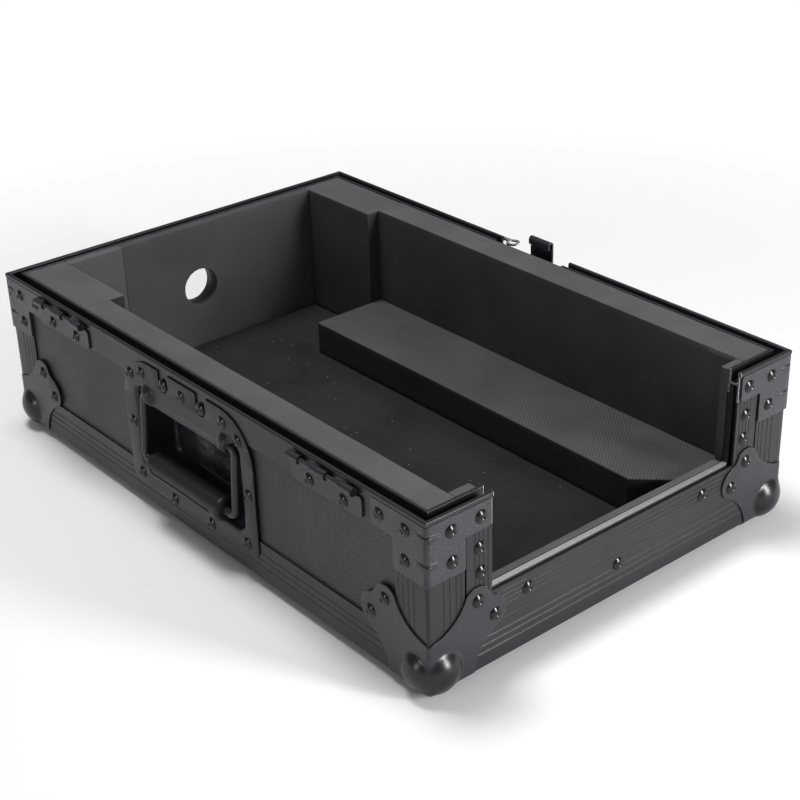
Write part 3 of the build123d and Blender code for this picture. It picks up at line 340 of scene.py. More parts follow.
    def _specks(self) -> Effect:
        """Sparse pale specks of dust.

        Returns:
            The effect.
        """
        effect = Effect("dust_specks", Spacing=0.008, Share=0.3)
        graph, given = effect.graph, effect.given
        scale = graph.math("DIVIDE", 1.0, given["Spacing"])
        cells = graph.node("ShaderNodeTexVoronoi", {"Vector": given["Vector"], "Scale": scale}).outputs
        dot = graph.ramp(cells["Distance"], *self.SPECK_EDGE, 1.0, 0.0)
        chosen = graph.math("LESS_THAN", graph.axes(cells["Color"])[0], given["Share"])
        return effect.give(Mask=graph.math("MULTIPLY", dot, chosen))


# Finishes

@dataclass(frozen=True)
class Finish:
    """One surface finish of the case.

    Tone, fleck, show, dust and the painted edge highlight are shares from 0 to 1, and turn is in radians.
    """

    name: str
    colour: Triple
    roughness: float
    metallic: float = 0.0
    specular: float = 0.5
    grain: float = 0.5
    grain_height: float = 0.012
    tone: float = 0.12
    fleck: float = 0.0
    edge: float = 0.0
    pattern: Pattern = Pattern.PLAIN
    relief: float = 0.0
    show: float = 0.2
    pitch: float = 2.3
    turn: Triple = (0.0, 0.0, 0.0)
    dust: float = 0.0
    raw_end: float = 0.0
    fold: float = 0.0
    rib: float = 0.0
    edge_glint: float = 0.0

    FLECK_SHADE = 5.0
    RELIEF_SHADE = 3.4
    ROUGHNESS_SWING = 0.08
    DUST_COLOUR = (0.32, 0.32, 0.32, 1.0)
    RAW_COLOUR = (0.75, 0.75, 0.75, 1.0)
    # Colour and levels of the painted highlight along edges.
    GLINT_COLOUR = (0.2, 0.2, 0.205, 1.0)
    GLINT_LEVELS = (0.97, 0.8)
    CRINKLE_SCALE, CRINKLE_DETAIL, CRINKLE_DISTORTION = 48.0, 1.0, 1.6
    EDGE_SAMPLES, WEAR_SAMPLES = 6, 8

    def material(self, effects: Effects) -> Material:
        """Build the material of this finish.

        Args:
            effects: the shared node groups.

        Returns:
            The new material.
        """
        made = bpy.data.materials.new(self.name)
        graph = clear_graph(made)
        where = graph.node("ShaderNodeTexCoord").outputs["Object"]
        tone = effects.tone.place(graph, where)["Value"]
        grain = effects.grain.place(graph, where, Size=self.grain * MM)
        colour = graph.mix(tone, self._shade(1 - self.tone), self._shade(1 + self.tone))
        if self.fleck:
            share = graph.math("MULTIPLY", grain["Fleck"], self.fleck)
            colour = graph.mix(share, colour, self._shade(self.FLECK_SHADE))
        rough = graph.ramp(tone, 0.0, 1.0, self.roughness * (1 + self.ROUGHNESS_SWING),
                           self.roughness * (1 - self.ROUGHNESS_SWING))
        height = graph.math("MULTIPLY", grain["Height"], self.grain_height * MM)
        if self.pattern is not Pattern.PLAIN:
            relief = self._relief(graph, effects, where)
            height = graph.math("ADD", height, graph.math("MULTIPLY", relief, self.relief * MM))
            if self.pattern in (Pattern.SAW_CUT, Pattern.HATCH, Pattern.TREAD):
                lift = graph.ramp(relief, 0.0, 1.0, 0.0, self.show)
                colour = graph.mix(lift, colour, self._shade(self.RELIEF_SHADE))
        if self.dust:
            dust = effects.specks.place(graph, where, Share=self.dust)["Mask"]
            colour = graph.mix(dust, colour, self.DUST_COLOUR)
        metal = self.metallic
        if self.raw_end:
            metal = self._raw_mask(graph, where)
            colour = graph.mix(metal, colour, self.RAW_COLOUR)
        if self.rib:
            ribs = effects.ribs.place(graph, where)["Height"]
            height = graph.math("ADD", height, graph.math("MULTIPLY", ribs, self.rib * MM))
        # Painted highlight: edges are lightened where the bevelled normal turns away from the flat one.
        if self.edge_glint:
            colour = graph.mix(self._edge_glint_mask(graph), colour, self.GLINT_COLOUR)
        bump = graph.node("ShaderNodeBump", {"Strength": 1.0, "Distance": 1.0, "Height": height,
                                             **self._normal(graph, effects, where)})
        surface = graph.node("ShaderNodeBsdfPrincipled", {"Base Color": colour, "Roughness": rough,
                                                          "Metallic": metal, "Normal": bump.outputs[0],
                                                          "Specular IOR Level": self.specular})
        graph.node("ShaderNodeOutputMaterial", {"Surface": surface.outputs[0]})
        return made

    def _shade(self, share: float) -> tuple[float, float, float, float]:
        """Return the colour, made lighter or darker by a share."""
        return tuple(min(1.0, part * share) for part in self.colour) + (1.0,)

    def _relief(self, graph: Graph, effects: Effects, where: NodeSocket) -> NodeSocket:
        """Place the relief of this finish.

        Args:
            graph: graph of the material.
            effects: the shared node groups.
            where: coordinates on the piece.

        Returns:
            The socket with the height of the relief.
        """
        if self.pattern is Pattern.TREAD:
            return effects.tread.place(graph, where)["Height"]
        if self.pattern is Pattern.CRINKLE:
            return graph.noise(where, self.CRINKLE_SCALE, self.CRINKLE_DETAIL,
                               Distortion=self.CRINKLE_DISTORTION)
        turned = graph.node("ShaderNodeMapping", {"Vector": where, "Rotation": self.turn}).outputs[0]
        return effects.stripes.place(graph, turned, Pitch=self.pitch * MM)["Height"]

    def _normal(self, graph: Graph, effects: Effects, where: NodeSocket) -> dict[str, NodeSocket]:
        """Round the edges, and the fold where the finish has one.

        Args:
            graph: graph of the material.
            effects: the shared node groups.
            where: coordinates on the piece.

        Returns:
            The normal as an input by name, or nothing where edges stay sharp.
        """
        if not self.edge:
            return {}
        normal = self._bevel(graph, self.EDGE_SAMPLES)
        if self.fold:
            fold = effects.fold.place(graph, where, Radius=self.fold * MM)
            normal = graph.node("ShaderNodeMix", {0: fold["Mask"], 4: normal, 5: fold["Normal"]},
                                data_type="VECTOR").outputs[1]
        return {"Normal": normal}

    def _bevel(self, graph: Graph, samples: int) -> NodeSocket:
        """Return the normal as it would be on rounded edges."""
        return graph.node("ShaderNodeBevel", {"Radius": self.edge * MM}, samples=samples).outputs[0]

    def _edge_glint_mask(self, graph: Graph) -> NodeSocket:
        """Mask narrow bands along the edges, which are painted lighter as a highlight where an edge catches
        the light.

        Args:
            graph: graph of the material.

        Returns:
            The socket with the mask.
        """
        flat = graph.node("ShaderNodeNewGeometry").outputs["True Normal"]
        match = graph.node("ShaderNodeVectorMath", {0: self._bevel(graph, self.WEAR_SAMPLES), 1: flat},
                           operation="DOT_PRODUCT").outputs["Value"]
        return graph.ramp(match, *self.GLINT_LEVELS, 0.0, self.edge_glint)

    def _raw_mask(self, graph: Graph, where: NodeSocket) -> NodeSocket:
        """Mask the sawn end of a profile, whose metal is bare."""
        return graph.math("LESS_THAN", graph.math("ABSOLUTE", graph.axes(where)[0]), self.raw_end * MM)


@dataclass(frozen=True)
class Palette:
    """Every finish of the case."""

    laminate: Finish = Finish("black_laminate", (0.0165, 0.0165, 0.0205), 0.46, specular=0.35, grain=0.9,
                              grain_height=0.01, pattern=Pattern.TREAD, relief=0.09, show=0.9, edge=0.3)
    anodised: Finish = Finish("black_anodised_profile", (0.0165, 0.0165, 0.0198), 0.36, specular=0.35,
                              grain=0.35, grain_height=0.006, edge=0.4)
    # The ridged, steel, bracket and plate finishes carry a painted highlight along their edges.
    ridged_profile: Finish = replace(anodised, name="black_ridged_profile", edge=0.55, edge_glint=1.0)
    corner_profile: Finish = replace(anodised, name="black_folded_profile", edge=0.35, fold=4.0)
    cut_profile: Finish = replace(anodised, name="black_profile_with_sawn_end", edge=0.3, raw_end=112.95)
    steel: Finish = Finish("black_coated_steel", (0.021, 0.021, 0.027), 0.31, specular=0.38, grain=1.1,
                           grain_height=0.035, fleck=0.12, edge=0.4, edge_glint=0.35)
    # The ball takes a darker copy of the corner's steel: painted shade.
    ball: Finish = Finish("black_ball_painted_shade_copy", (0.008, 0.008, 0.0105), 0.27, specular=0.4, grain=1.1,
                          grain_height=0.02, fleck=0.06)
    bracket: Finish = Finish("black_coated_bracket", (0.03, 0.03, 0.037), 0.36, specular=0.4, grain=1.1,
                             grain_height=0.06, fleck=0.36, edge=0.4, fold=4.0, rib=1.7, edge_glint=0.3)
    plate: Finish = Finish("black_handle_plate", (0.0125, 0.0125, 0.0152), 0.33, specular=0.3, grain=1.1,
                           grain_height=0.03, fleck=0.05, edge=0.4, edge_glint=0.25)
    # The dish's walls inside are painted lighter than its plate as painted reflection; the crinkle is relief.
    dish: Finish = Finish("dish_inside_painted_reflection", (0.028, 0.028, 0.036), 0.24, grain=0.6,
                          pattern=Pattern.CRINKLE, relief=0.7)
    rivet: Finish = Finish("gloss_black_rivet", (0.005, 0.005, 0.006), 0.17, specular=0.38, grain=0.9,
                           grain_height=0.006)
    bare_aluminium: Finish = Finish("bare_aluminium", (0.5, 0.5, 0.51), 0.5, 0.75, grain=0.3,
                                    pattern=Pattern.BRUSHED, relief=0.003, pitch=0.4, edge=0.2)
    bare_steel: Finish = Finish("bright_plated_steel", (0.78, 0.78, 0.79), 0.22, 1.0, grain=0.4,
                                grain_height=0.004, edge=0.2)
    foam: Finish = Finish("grey_foam", (0.094, 0.094, 0.1), 0.88, specular=0.12, grain=0.45,
                          grain_height=0.05, tone=0.11)
    foam_pale: Finish = replace(foam, name="pale_grey_foam", colour=(0.092, 0.092, 0.099), tone=0.08)
    foam_rear: Finish = replace(foam_pale, name="rear_grey_foam", colour=(0.068, 0.068, 0.074))
    # Darker copies of the foam for side faces: painted shade; the hatch is a real pattern.
    foam_dark: Finish = replace(foam, name="foam_painted_side_shade", colour=(0.03, 0.03, 0.034), roughness=0.86, tone=0.1)
    foam_cut: Finish = replace(foam_pale, name="grey_foam_sawn", colour=(0.066, 0.066, 0.071),
                               pattern=Pattern.SAW_CUT, relief=0.07, turn=(0.0, 0.0, 0.95))
    foam_hatch: Finish = replace(foam_dark, name="foam_hatched_painted_side_shade", colour=(0.043, 0.043, 0.049),
                                 pattern=Pattern.HATCH, relief=0.03, show=0.12, pitch=2.1,
                                 turn=(0.9, 0.0, 0.7))
    foam_floor: Finish = Finish("floor_foam_dusty", (0.021, 0.021, 0.0245), 0.8, specular=0.15, grain=0.7,
                                grain_height=0.09, tone=0.16, dust=0.65)
    grip: Finish = Finish("moulded_grip", (0.0125, 0.0125, 0.0138), 0.44, specular=0.32, grain=0.4,
                          grain_height=0.01)


# Mesh helpers

def on_left_wall(along: float, depth: float, height: float) -> Vector:
    """Turn a place on the left wall, counted from its rear end and its lip, into a point in metres."""
    return Vector((depth - CASE_HALF_WIDTH, CASE_HALF_LENGTH - along, height)) * MM


def quarter_turn(steps: int) -> list[Pair]:
    """Return the sine and cosine at equal steps of a quarter turn, without its start."""
    angles = [math.radians(90 * step / steps) for step in range(1, steps + 1)]
    return [(math.sin(angle), math.cos(angle)) for angle in angles]


def arc(first: Pair, middle: Pair, last: Pair, steps: int) -> list[Pair]:
    """Sample the arc through three points, without its last point.

    Args:
        first: where the arc starts.
        middle: a point on it.
        last: where it ends.
        steps: how many points to give.

    Returns:
        The points in order.
    """
    (ax, ay), (bx, by), (cx, cy) = first, middle, last
    twice = 2 * (ax * (by - cy) + bx * (cy - ay) + cx * (ay - by))
    squares = [x * x + y * y for x, y in (first, middle, last)]
    ux = (squares[0] * (by - cy) + squares[1] * (cy - ay) + squares[2] * (ay - by)) / twice
    uy = (squares[0] * (cx - bx) + squares[1] * (ax - cx) + squares[2] * (bx - ax)) / twice
    radius = math.hypot(ax - ux, ay - uy)
    start, mid, end = (math.atan2(y - uy, x - ux) for x, y in (first, middle, last))
    turn = (end - start) % math.tau
    if (mid - start) % math.tau > turn:
        turn -= math.tau
    angles = [start + turn * k / steps for k in range(steps)]
    return [(ux + radius * math.cos(angle), uy + radius * math.sin(angle)) for angle in angles]


def rounded(corners: list[Triple], steps: int = 7) -> list[Pair]:
    """Round the corners of a closed outline.

    Args:
        corners: each corner with its radius.
        steps: how many pieces each round has.

    Returns:
        The points of the rounded outline.
    """
    points = []
    for index, (x, y, radius) in enumerate(corners):
        here = Vector((x, y))
        to_last = (Vector(corners[index - 1][:2]) - here).normalized()
        to_next = (Vector(corners[(index + 1) % len(corners)][:2]) - here).normalized()
        half = to_last.angle(to_next) / 2
        reach = radius / math.tan(half)
        centre = here + (to_last + to_next).normalized() * radius / math.sin(half)
        start = here + to_last * reach - centre
        turn = start.angle_signed(here + to_next * reach - centre)
        for step in range(steps + 1):
            points.append(tuple(centre + Matrix.Rotation(-turn * step / steps, 2) @ start))
    return points


def slice_mesh(mesh: BMesh, axis: int, low: float, high: float, pitch: float) -> None:
    """Cut a mesh by parallel planes, so that it can bend between them.

    Args:
        mesh: mesh to cut.
        axis: 0, 1 or 2.
        low: first plane.
        high: no plane lies past this.
        pitch: distance between planes.
    """
    normal = Vector((0, 0, 0))
    normal[axis] = 1.0
    for step in range(int((high - low) / pitch) + 1):
        place = normal * (low + pitch * step)
        bmesh.ops.bisect_plane(mesh, geom=mesh.verts[:] + mesh.edges[:] + mesh.faces[:], plane_co=place,
                               plane_no=normal, dist=MERGE)


def add_object(name: str, data: bpy.types.ID) -> Object:
    """Add an object with this data to the scene.

    Args:
        name: name of the object.
        data: its mesh, lamp or camera.

    Returns:
        The new object.
    """
    made = bpy.data.objects.new(name, data)
    bpy.context.scene.collection.objects.link(made)
    return made


def make_object(name: str, mesh: BMesh, finishes: list[Material],
                sharp: float, body: str = "case") -> Object:
    """Turn a bmesh into a piece of the scene.

    Args:
        name: name of the piece.
        mesh: its mesh in metres; it is used up.
        finishes: its materials, in the order of its faces' indices.
        sharp: angle in degrees past which an edge stays sharp.
        body: the CAD body that it rides on.

    Returns:
        The new object.
    """
    data = bpy.data.meshes.new(name)
    mesh.to_mesh(data)
    mesh.free()
    data.shade_smooth()
    data.set_sharp_from_angle(angle=math.radians(sharp))
    for finish in finishes:
        data.materials.append(finish)
    made = add_object(name, data)
    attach(made, body)
    LOG.info("piece %s: %d faces", name, len(data.polygons))
    return made


def thicken(made: Object, sheet: float, edge: float, angle: float, even: bool) -> None:
    """Thicken an open skin inwards and break its sharp edges.

    Args:
        made: object with the outer skin.
        sheet: thickness of the sheet.
        edge: width of a broken edge.
        angle: angle in degrees past which an edge is broken.
        even: whether the thickness is kept round tight bends.
    """
    thick = made.modifiers.new("sheet", "SOLIDIFY")
    thick.thickness = sheet * MM
    thick.offset = -1.0
    thick.use_even_offset = even
    broken = made.modifiers.new("edge", "BEVEL")
    broken.width = edge * MM
    broken.segments = 2
    broken.limit_method = "ANGLE"
    broken.angle_limit = math.radians(angle)


def copy_of_node(node: str) -> BMesh:
    """Copy a CAD node's mesh, merge its loose triangles and clear the edges inside its flat faces.

    Args:
        node: name of the CAD node.

    Returns:
        The new mesh, in metres.
    """
    mesh = bmesh.new()
    mesh.from_mesh(frame["nodes"][node].data)
    bmesh.ops.remove_doubles(mesh, verts=mesh.verts[:], dist=MERGE)
    bmesh.ops.dissolve_limit(mesh, angle_limit=math.radians(FLAT_ANGLE), verts=mesh.verts[:],
                             edges=mesh.edges[:])
    return mesh


# Pieces

@dataclass
class FoamLining:
    """Foam pieces that line the tray, cut from slabs, with soft edges and slightly uneven faces; most side
    faces take a darker copy of the foam as painted shade.

    Edges that turn by more than the edge angle, in radians, are soft; the cuts are shares of the pitch.
    """

    edge_round: float = 1.1
    edge_steps: int = 3
    edge_angle: float = 1.0
    unevenness: float = 0.28
    wave_length: float = 34.0
    seed_step: Triple = (3.1, 1.7, 0.9)
    pitch: float = 9.0
    first_cut: float = 0.6
    last_cut: float = 0.3
    upward: float = 0.5
    sharp: float = 50.0
    fill: float = 1.0
    # Per piece: finish of the upward faces, then of the rest; the darker second finishes are painted shade on
    # the sides.
    finishes: dict[str, tuple[str, str]] = field(default_factory=lambda: {
        "foam_left": ("foam", "foam_dark"), "foam_left_rear": ("foam_pale", "foam_dark"),
        "foam_right": ("foam", "foam_hatch"), "foam_right_rear": ("foam_pale", "foam_hatch"),
        "foam_rear_left": ("foam", "foam_pale"), "foam_rear_main": ("foam_rear", "foam_rear"),
        "foam_front_left": ("foam", "foam_hatch"), "foam_front_right": ("foam", "foam_hatch"),
        "foam_front_sill": ("foam", "foam_dark"), "foam_ledge": ("foam_cut", "foam_dark"),
        "foam_floor": ("foam_floor", "foam_floor"),
    })

    def build(self, materials: dict[str, Material]) -> None:
        """Make every foam piece, with the finishes by name."""
        for seed, (node, names) in enumerate(self.finishes.items()):
            self.piece(node, [materials[name] for name in names], seed)

    def piece(self, node: str, finishes: list[Material], seed: int) -> Object:
        """Make one foam piece from the shape of its solid.

        Args:
            node: CAD node that it stands for.
            finishes: finish of its upper faces, then of the others, which for most pieces is a darker copy
                standing for painted shade.
            seed: shifts the unevenness from piece to piece.

        Returns:
            The new piece.
        """
        mesh = copy_of_node(node)
        soft = [edge for edge in mesh.edges
                if edge.is_manifold and edge.calc_face_angle(0.0) > self.edge_angle]
        bmesh.ops.bevel(mesh, geom=soft, offset=self.edge_round * MM, offset_type="OFFSET", affect="EDGES",
                        segments=self.edge_steps, profile=0.5, material=-1, clamp_overlap=True)
        bmesh.ops.triangulate(mesh, faces=mesh.faces[:])
        step = self.pitch * MM
        for axis, (low, high) in enumerate(zip(*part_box(node))):
            slice_mesh(mesh, axis, low + step * self.first_cut, high - step * self.last_cut, step)
        mesh.normal_update()
        shift = Vector([seed * part for part in self.seed_step])
        for vert in mesh.verts:
            bump = noise.noise(vert.co / (self.wave_length * MM) + shift)
            vert.co += vert.normal * bump * self.unevenness * MM
        mesh.normal_update()
        # Upward faces take the lit finish, the others the darker one: painted shade on the sides.
        for face in mesh.faces:
            face.material_index = 0 if face.normal.z > self.upward else 1
        made = make_object("lining_" + node, mesh, finishes, self.sharp)
        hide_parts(node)
        return made


@dataclass
class BallCorner:
    """Pressed steel ball corner: a ball that grows smoothly out of two ears and a foot plate.

    Each stretch of an ear's outline, from the foot up, is a point on its arc, its end and its steps.
    """

    radius: float = 19.0
    inset: float = 13.0
    proud: float = 0.3
    under: float = 5.8
    fold: float = 2.8
    neck: float = 1.8
    ball_band: float = 0.6
    sheet: float = 1.1
    edge: float = 0.28
    edge_angle: float = 55.0
    sharp: float = 60.0
    foot: float = 37.0
    under_length: float = 40.0
    under_width: float = 13.0
    foot_flank: Stretch = ((43.5, 23.5), (60.0, 36.4), 14)
    lower_lobe: Stretch = ((64.0, 47.5), (58.0, 56.2), 14)
    dip: Stretch = ((52.3, 59.3), (48.0, 66.6), 8)
    upper_lobe: Stretch = ((39.8, 69.1), (31.5, 65.5), 12)
    top_flank: Stretch = ((19.5, 50.2), (0.3, 43.6), 18)
    pitch: float = 1.2
    reach: float = 46.0
    merge: float = 0.02
    farthest: float = 120.0
    halvings: int = 34

    def build(self, material: Material, ball_painted_shade: Material) -> None:
        """Make the four corners from one mesh, mirrored.

        Args:
            material: finish of the ears and the foot.
            ball_painted_shade: finish of the ball, a darker copy of the steel that stands for painted shade.
        """
        pattern = self._corner_mesh()
        for side in Side:
            mesh = pattern.copy()
            across, back = side.value
            for vert in mesh.verts:
                vert.co = Vector((across * (CASE_HALF_WIDTH - vert.co.x),
                                  back * (CASE_HALF_LENGTH - vert.co.y), vert.co.z)) * MM
            bmesh.ops.recalc_face_normals(mesh, faces=mesh.faces[:])
            self._face_out(mesh)
            name = side.name.lower()
            made = make_object("ball_" + name, mesh, [material, ball_painted_shade], self.sharp)
            thicken(made, self.sheet, self.edge, self.edge_angle, even=True)
            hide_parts("ball_corner_" + name)
        pattern.free()

    def _face_out(self, mesh: BMesh) -> None:
        """Turn the open skin's faces outwards, judged by its lowest face, which looks down.

        Args:
            mesh: the skin of one corner.
        """
        lowest = min(mesh.faces, key=lambda face: face.calc_center_median().z)
        if lowest.normal.z > 0:
            bmesh.ops.reverse_faces(mesh, faces=mesh.faces[:])

    def _ear(self) -> list[Pair]:
        """Outline of one ear, as distance from the corner and height.

        Returns:
            Its points in order.
        """
        points, start = [(self.proud, self.under)], (self.foot, self.under)
        stretches = (self.foot_flank, self.lower_lobe, self.dip, self.upper_lobe, self.top_flank)
        for middle, end, steps in stretches:
            points += arc(start, middle, end, steps)
            start = end
        return [*points, start]

    def _corner_mesh(self) -> BMesh:
        """Make the outer skin of one corner, in millimetres in from both walls.

        Returns:
            The new mesh.
        """
        mesh = bmesh.new()
        ear = self._ear()
        low, foot, width = self.proud, self.under_length, self.under_width
        under = [(low, low), (foot, low), (foot, width), (width, foot), (low, foot)]
        for corners in ([(s, low, z) for s, z in ear], [(low, s, z) for s, z in ear],
                        [(x, y, self.under) for x, y in under]):
            verts = [mesh.verts.new(corner) for corner in corners]
            edges = [mesh.edges.new((verts[k - 1], verts[k])) for k in range(len(verts))]
            bmesh.ops.triangle_fill(mesh, edges=edges, use_beauty=True)
        for axis in range(3):
            slice_mesh(mesh, axis, low + self.pitch, self.reach, self.pitch)
        bmesh.ops.remove_doubles(mesh, verts=mesh.verts[:], dist=self.merge)
        centre = Vector((self.inset, self.inset, self.radius))
        for vert in mesh.verts:
            vert.co = self._skin(centre, (vert.co - centre).normalized())
        # Faces on the ball take the second, darker finish: painted shade.
        for face in mesh.faces:
            out = (face.calc_center_median() - centre).length
            face.material_index = int(abs(out - self.radius) < self.ball_band)
        return mesh

    def _skin(self, centre: Vector, heading: Vector) -> Vector:
        """Find where a ray from the ball's centre leaves the blended shape.

        Args:
            centre: the ball's centre.
            heading: unit vector along the ray.

        Returns:
            The point on the skin.
        """
        near, far = self.radius / 2, self.farthest
        for _ in range(self.halvings):
            middle = (near + far) / 2
            if self._distance(centre, centre + heading * middle) > 0:
                far = middle
            else:
                near = middle
        return centre + heading * near

    def _distance(self, centre: Vector, place: Vector) -> float:
        """Signed distance to the ball, joined smoothly to the folded plates.

        Args:
            centre: the ball's centre.
            place: where the distance is asked for.

        Returns:
            The distance, below zero inside.
        """
        ball = (place - centre).length - self.radius
        gaps = Vector((self.proud + self.fold - place.x, self.proud + self.fold - place.y,
                       self.under + self.fold - place.z))
        outside = Vector([max(gap, 0.0) for gap in gaps]).length
        plates = outside + min(max(gaps), 0.0) - self.fold
        share = max(0.0, min(1.0, 0.5 + 0.5 * (plates - ball) / self.neck))
        return plates * (1 - share) + ball * share - self.neck * share * (1 - share)


@dataclass
class HandleDish:
    """Pressed handle dish with a rolled mouth, two pivot bosses and notches for the rim's rivets."""

    centre: float = 247.0
    half: float = 78.5
    bottom: float = 21.0
    top: float = 125.0
    foot_round: float = 9.0
    top_round: float = 34.0
    face: float = 0.3
    sheet: float = 1.1
    edge: float = 0.25
    edge_angle: float = 60.0
    sharp: float = 45.0
    mouth_half: float = 62.4
    mouth_bottom: float = 37.2
    mouth_top: float = 91.0
    mouth_foot_round: float = 7.0
    mouth_round: float = 5.0
    mouth_steps: int = 6
    tower_inner: float = 50.0
    tower_top: float = 101.5
    tower_round: float = 4.5
    roll: float = 3.8
    roll_steps: int = 6
    wall_inset: float = 0.3
    depth: float = 28.8
    floor_round: float = 5.0
    floor_steps: int = 5
    inside_from: float = 9.8
    notches: tuple[Pair, ...] = ((21.0, 115.0), (-25.2, 115.5))
    notch_width: float = 11.0
    notch_mouth_round: float = 1.2
    notch_round_share: float = 0.96
    boss_at: Pair = (47.5, 99.0)
    boss_radius: float = 9.5
    boss_rise: float = 4.2
    boss_pitch: float = 0.9
    boss_ends: float = 5.8
    hole_at: Pair = (46.0, 93.8)
    hole_radius: float = 2.5
    hole_depth: float = 3.4

    def build(self, material: Material, inside: Material) -> Object:
        """Make the dish.

        Args:
            material: its finish.
            inside: finish of the walls inside, lighter than the plate as painted reflection, with a crinkle
                relief.

        Returns:
            The new piece.
        """
        mesh = bmesh.new()
        rim = self._loop(mesh, self._plate_outline(), self.face)
        mouth = self._mouth_outline()
        ring = self._loop(mesh, self._offset(mouth, self.roll), self.face)
        bmesh.ops.triangle_fill(mesh, edges=rim + ring, use_beauty=True)
        for offset, depth in self._wall_profile():
            ring = self._next_ring(mesh, ring, self._offset(mouth, offset), depth)
        bmesh.ops.triangle_fill(mesh, edges=ring, use_beauty=True)
        for side in (-1, 1):
            for axis, middle in ((0, self.centre + side * self.boss_at[0]), (2, self.boss_at[1])):
                slice_mesh(mesh, axis, middle - self.boss_radius, middle + self.boss_radius, self.boss_pitch)
        # Faces deeper than inside_from take the lighter inside finish: painted reflection.
        for face in mesh.faces:
            face.material_index = int(face.calc_center_median().y > self.inside_from)
        for vert in mesh.verts:
            vert.co.y -= self._boss(vert.co)
        for vert in mesh.verts:
            vert.co = on_left_wall(*vert.co)
        bmesh.ops.recalc_face_normals(mesh, faces=mesh.faces[:])
        made = make_object("handle_pressed_dish", mesh, [material, inside], self.sharp)
        self._face_out(made)
        thicken(made, self.sheet, self.edge, self.edge_angle, even=False)
        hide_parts("handle_dish")
        return made

    def _face_out(self, made: Object) -> None:
        """Turn the open shell's faces so that the flange faces out of the wall.

        Args:
            made: the dish.
        """
        flange = max(made.data.polygons, key=lambda face: face.area)
        if flange.normal.x > 0:
            made.data.flip_normals()

    def _plate_outline(self) -> list[Pair]:
        """Outline of the flange, with its notches, from the rear foot round.

        Returns:
            Its points in order.
        """
        corners = [(-self.half, self.bottom, self.foot_round), (self.half, self.bottom, self.foot_round),
                   (self.half, self.top, self.top_round)]
        wide = self.notch_width / 2
        deep_round = wide * self.notch_round_share
        for offset, height in sorted(self.notches, reverse=True):
            corners += [(offset + wide, self.top, self.notch_mouth_round),
                        (offset + wide, height - wide, deep_round),
                        (offset - wide, height - wide, deep_round),
                        (offset - wide, self.top, self.notch_mouth_round)]
        corners.append((-self.half, self.top, self.top_round))
        return rounded(corners)

    def _mouth_outline(self) -> list[Pair]:
        """Outline of the mouth, with a tower for each arm of the bail.

        Returns:
            Its points in order.
        """
        half, inner, low, high = self.mouth_half, self.tower_inner, self.mouth_bottom, self.tower_top
        front = [(half, low, self.mouth_foot_round), (half, high, self.mouth_round),
                 (inner, high, self.tower_round), (inner, self.mouth_top, self.mouth_round)]
        rear = [(-along, height, radius) for along, height, radius in reversed(front)]
        return rounded(rear[-1:] + front + rear[:-1], self.mouth_steps)

    def _offset(self, outline: list[Pair], distance: float) -> list[Pair]:
        """Move each point of a closed outline outwards by a distance.

        Args:
            outline: points in order.
            distance: how far they move.

        Returns:
            The moved points.
        """
        moved = []
        for index, point in enumerate(outline):
            run = Vector(outline[(index + 1) % len(outline)]) - Vector(outline[index - 1])
            outward = Vector((run.y, -run.x)).normalized()
            moved.append(tuple(Vector(point) + outward * distance))
        return moved

    def _wall_profile(self) -> list[Pair]:
        """Offsets and depths of the rings from the lip to the floor of the dish.

        Returns:
            A pair for each ring.
        """
        profile = [(self.roll * (1 - sine), self.face + self.roll * (1 - cosine))
                   for sine, cosine in quarter_turn(self.roll_steps)]
        profile.append((-self.wall_inset, self.depth - self.floor_round))
        profile += [(-self.wall_inset - self.floor_round / 2 * (1 - cosine),
                     self.depth - self.floor_round * (1 - sine))
                    for sine, cosine in quarter_turn(self.floor_steps)]
        return profile

    def _loop(self, mesh: BMesh, outline: list[Pair], depth: float) -> list[BMEdge]:
        """Lay a closed loop of edges at a depth in the wall."""
        verts = [mesh.verts.new((self.centre + along, depth, height)) for along, height in outline]
        return [mesh.edges.new((verts[k - 1], verts[k])) for k in range(len(verts))]

    def _next_ring(self, mesh: BMesh, ring: list[BMEdge], outline: list[Pair], depth: float) -> list[BMEdge]:
        """Extrude a ring of edges to its next place.

        Args:
            mesh: mesh to work on.
            ring: edges of the last ring.
            outline: where the next ring's points lie.
            depth: how deep they lie.

        Returns:
            The edges of the next ring.
        """
        made = bmesh.ops.extrude_edge_only(mesh, edges=ring)["geom"]
        fresh = {item for item in made if isinstance(item, BMVert)}
        edges = [item for item in made if isinstance(item, BMEdge) and fresh.issuperset(item.verts)]
        for vert, (along, height) in zip(self._ordered(edges), outline):
            vert.co = (self.centre + along, depth, height)
        return edges

    def _ordered(self, edges: list[BMEdge]) -> list[BMVert]:
        """Return the vertices of a ring in the order in which its edges were made."""
        count = len(edges)
        return [next(iter(set(edges[k].verts) & set(edges[(k + 1) % count].verts))) for k in range(count)]

    def _boss(self, place: Vector) -> float:
        """How far the flange bulges over a pivot at this place.

        Args:
            place: distance along the wall, depth and height.

        Returns:
            The rise, below zero in the hole.
        """
        if place.y > self.boss_ends:
            return 0.0
        across = abs(place.x - self.centre)
        distance = math.hypot(across - self.boss_at[0], place.z - self.boss_at[1])
        share = max(0.0, 1 - (distance / self.boss_radius) ** 2)
        hole = math.hypot(across - self.hole_at[0], place.z - self.hole_at[1]) < self.hole_radius
        return self.boss_rise * share * share * (3 - 2 * share) - self.hole_depth * hole


